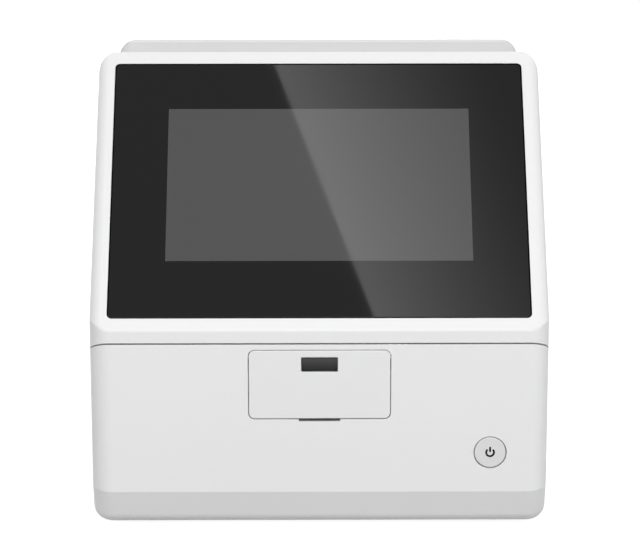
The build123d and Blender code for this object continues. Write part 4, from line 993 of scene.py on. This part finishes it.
free_areas = [
    [(x, y, main_face) for x, y in ((left, low), (right, low), (right, high), (left, high))]
    for left, right, low, high in main_areas
] + [
    [slope_point(x, view_middle + along, display_board_depth)
     for x, along in ((left, low), (left, high), (right, high), (right, low))]
    for left, right, low, high in display_areas
]
corners = [corner for area in free_areas for corner in area]
quads = [tuple(range(start, start + 4)) for start in range(0, len(corners), 4)]
area_mesh = bpy.data.meshes.new("free_areas")
area_mesh.from_pydata(corners, [], quads)
chip_source = new_object("chip_source", box_mesh("chip", chip_size, (0, 0, chip_size[2] / 2), 0.00008))
chip_paint, tree, shader, place = surface("chip_ceramic", (0.03, 0.028, 0.027), 0.4)
batch = patches(tree, place, 260.0)[0]
vary_colour(tree, shader, batch, (0.02, 0.02, 0.02), (0.36, 0.28, 0.20))
vary_gloss(tree, shader, batch, 0.3, 0.55)
chips = grown_mesh(
    "board_chips", area_mesh, populated, chip_paint, Shape=chip_source, Spacing=chip_spacing, Seed=11
)
bpy.data.objects.remove(chip_source)
add_piece("board_chips", chips, "case", chip_paint)

# Speaker cone: pressed paper in a rolled foam surround, glued into the speaker's frame, with a
# domed dust cap.
cone_profile = (
    (0, -0.0004), (0.0150, -0.0004), (0.0150, 0.0008), (0.0140, 0.0012), (0.0128, 0.0013), (0.0118, 0.0008),
    (0.0114, 0.0004), (0.0060, 0.0001), (0.0055, 0.0004), (0.0040, 0.0013), (0.0020, 0.0018), (0, 0.0020),
)
cone = spun_mesh("speaker_cone", cone_profile, 48, place=(*speaker_middle, speaker_top))
cone_paper, tree, shader, place = surface("cone_paper", (0.03, 0.03, 0.032), 0.8, 0.2)
fibre = noise(tree, place, 2600.0, 5.0)
vary_colour(tree, shader, fibre, (0.022, 0.022, 0.023), (0.05, 0.05, 0.052))
raise_by(tree, shader, fibre, 0.00006, 0.4)
add_piece("speaker_cone", cone, "case", cone_paper)

# Hidden fixings: a black seal on which the rear cover stands, two hooks that hold the display frame
# to the case's front wall, and the bent steel spring that presses the print head on the platen.
seal_half, seal_rear, seal_front, seal_strip = 0.1182, 0.1172, -0.070, 0.003
seal_low, seal_high = 0.0920, 0.09296
hook_section = (
    (-0.1170, 0.1090), (-0.1140, 0.1090), (-0.1140, 0.1159), (-0.1146, 0.1165), (-0.1170, 0.1165),
)
hook_middle, hook_half = 0.080, 0.009
roof_slope = radians(14)
spring_bends = ((0.00133, -0.0040), (0.00237, -0.0015), (0.00133, 0.0010), (0.00237, 0.0035))
spring_sheet, spring_half = 0.00025, 0.020

seal_inner = seal_half - seal_strip
seal_outline = (
    (-seal_half, seal_front), (-seal_half, seal_rear), (seal_half, seal_rear), (seal_half, seal_front),
    (seal_inner, seal_front), (seal_inner, seal_rear - seal_strip), (-seal_inner, seal_rear - seal_strip),
    (-seal_inner, seal_front),
)
seal_faces = [[(x, y, z) for x, y in seal_outline] for z in (seal_low, seal_high)]
add_piece("cover_seal", skinned_mesh("cover_seal", [seal_faces]), "case", gasket_foam)

hook_bodies = [
    [[(x, y, z) for y, z in hook_section] for x in (middle - hook_half, middle + hook_half)]
    for middle in (-hook_middle, hook_middle)
]
add_piece("frame_hooks", skinned_mesh("frame_hooks", hook_bodies), "case", black_plastic)

head_low, head_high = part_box("print_head")
head_middle = (Vector(head_low) + Vector(head_high)) / 2
from_head = Vector((0, -cos(roof_slope), sin(roof_slope)))
up_head = Vector((0, sin(roof_slope), cos(roof_slope)))
spring_sides = [
    [
        head_middle + from_head * away + up_head * up + Vector((side * spring_half, 0, 0))
        for away, up in rounded_stroke(spring_bends, spring_sheet)
    ]
    for side in (-1, 1)
]
head_spring = skinned_mesh("print_head_spring", [spring_sides])
add_piece("print_head_spring", head_spring, "case", ground_steel)

# Glass bead: black silicone run into the joint between the cover glass and its opening in the frame.
# It lies a little below the glass and shows as a thin dark line all round it.
bead_glass, bead_glass_start, bead_glass_corner = (0.2402, 0.1650), 0.00835, 0.0022
bead_inside, bead_outside = 0.00003, 0.00062
bead_top, bead_bottom = 0.00015, 0.00170
bead_corner_steps = 8
bead_middle = bead_glass_start + bead_glass[1] / 2
bead_half_x, bead_half_z = [size / 2 - bead_glass_corner for size in bead_glass]

bead_silicone, tree, shader, place = surface("bead_silicone", (0.002, 0.002, 0.002), 0.9, 0.0)
raise_by(tree, shader, noise(tree, place, 900, 3), 0.00003)


def bead_outline(offset):
    """Places across and up the slope, round the glass at an offset from its edge."""
    radius = bead_glass_corner + offset
    places = []
    for number, (side, end) in enumerate(((1, 1), (-1, 1), (-1, -1), (1, -1))):
        x, z = side * bead_half_x, bead_middle + end * bead_half_z
        for step in range(bead_corner_steps + 1):
            angle = pi / 2 * (number + step / bead_corner_steps)
            places.append((x + radius * cos(angle), z + radius * sin(angle)))
    return places


bead_section = (
    (bead_inside, bead_top), (bead_outside, bead_top),
    (bead_outside, bead_bottom), (bead_inside, bead_bottom),
)
bead_rings = [
    [slope_point(x, along, into) for x, along in bead_outline(offset)] for offset, into in bead_section
]
bead = skinned_mesh("glass_bead", [bead_rings], looped=True)
add_piece("glass_bead", bead, "case", bead_silicone)

# Rear cover's corners: fillets moulded with the cover, in the cover's darker white with its painted
# shade, that thicken its shell inside the two upright rear corners.
cover_half, rear_wall = 0.1208, 0.1200
corner_radius, corner_outer, corner_inner = 0.0110, 0.01098, 0.0080
fillet_foot, fillet_top = 0.0962, 0.2321
corner_steps = 16
corner_turns = [pi / 2 * step / corner_steps for step in range(corner_steps + 1)]
corner_x, corner_y = cover_half - corner_radius, rear_wall - corner_radius
corner_outline = [
    (corner_x + radius * cos(turn), corner_y + radius * sin(turn))
    for radius, turns in ((corner_outer, corner_turns), (corner_inner, reversed(corner_turns)))
    for turn in turns
]
fillet_bodies = [
    [[(side * x, y, z) for x, y in corner_outline] for z in (fillet_foot, fillet_top)] for side in (-1, 1)
]
fillets = skinned_mesh("cover_corner_fillets", fillet_bodies)
add_piece("cover_corner_fillets", fillets, "case", cover_white_shaded)
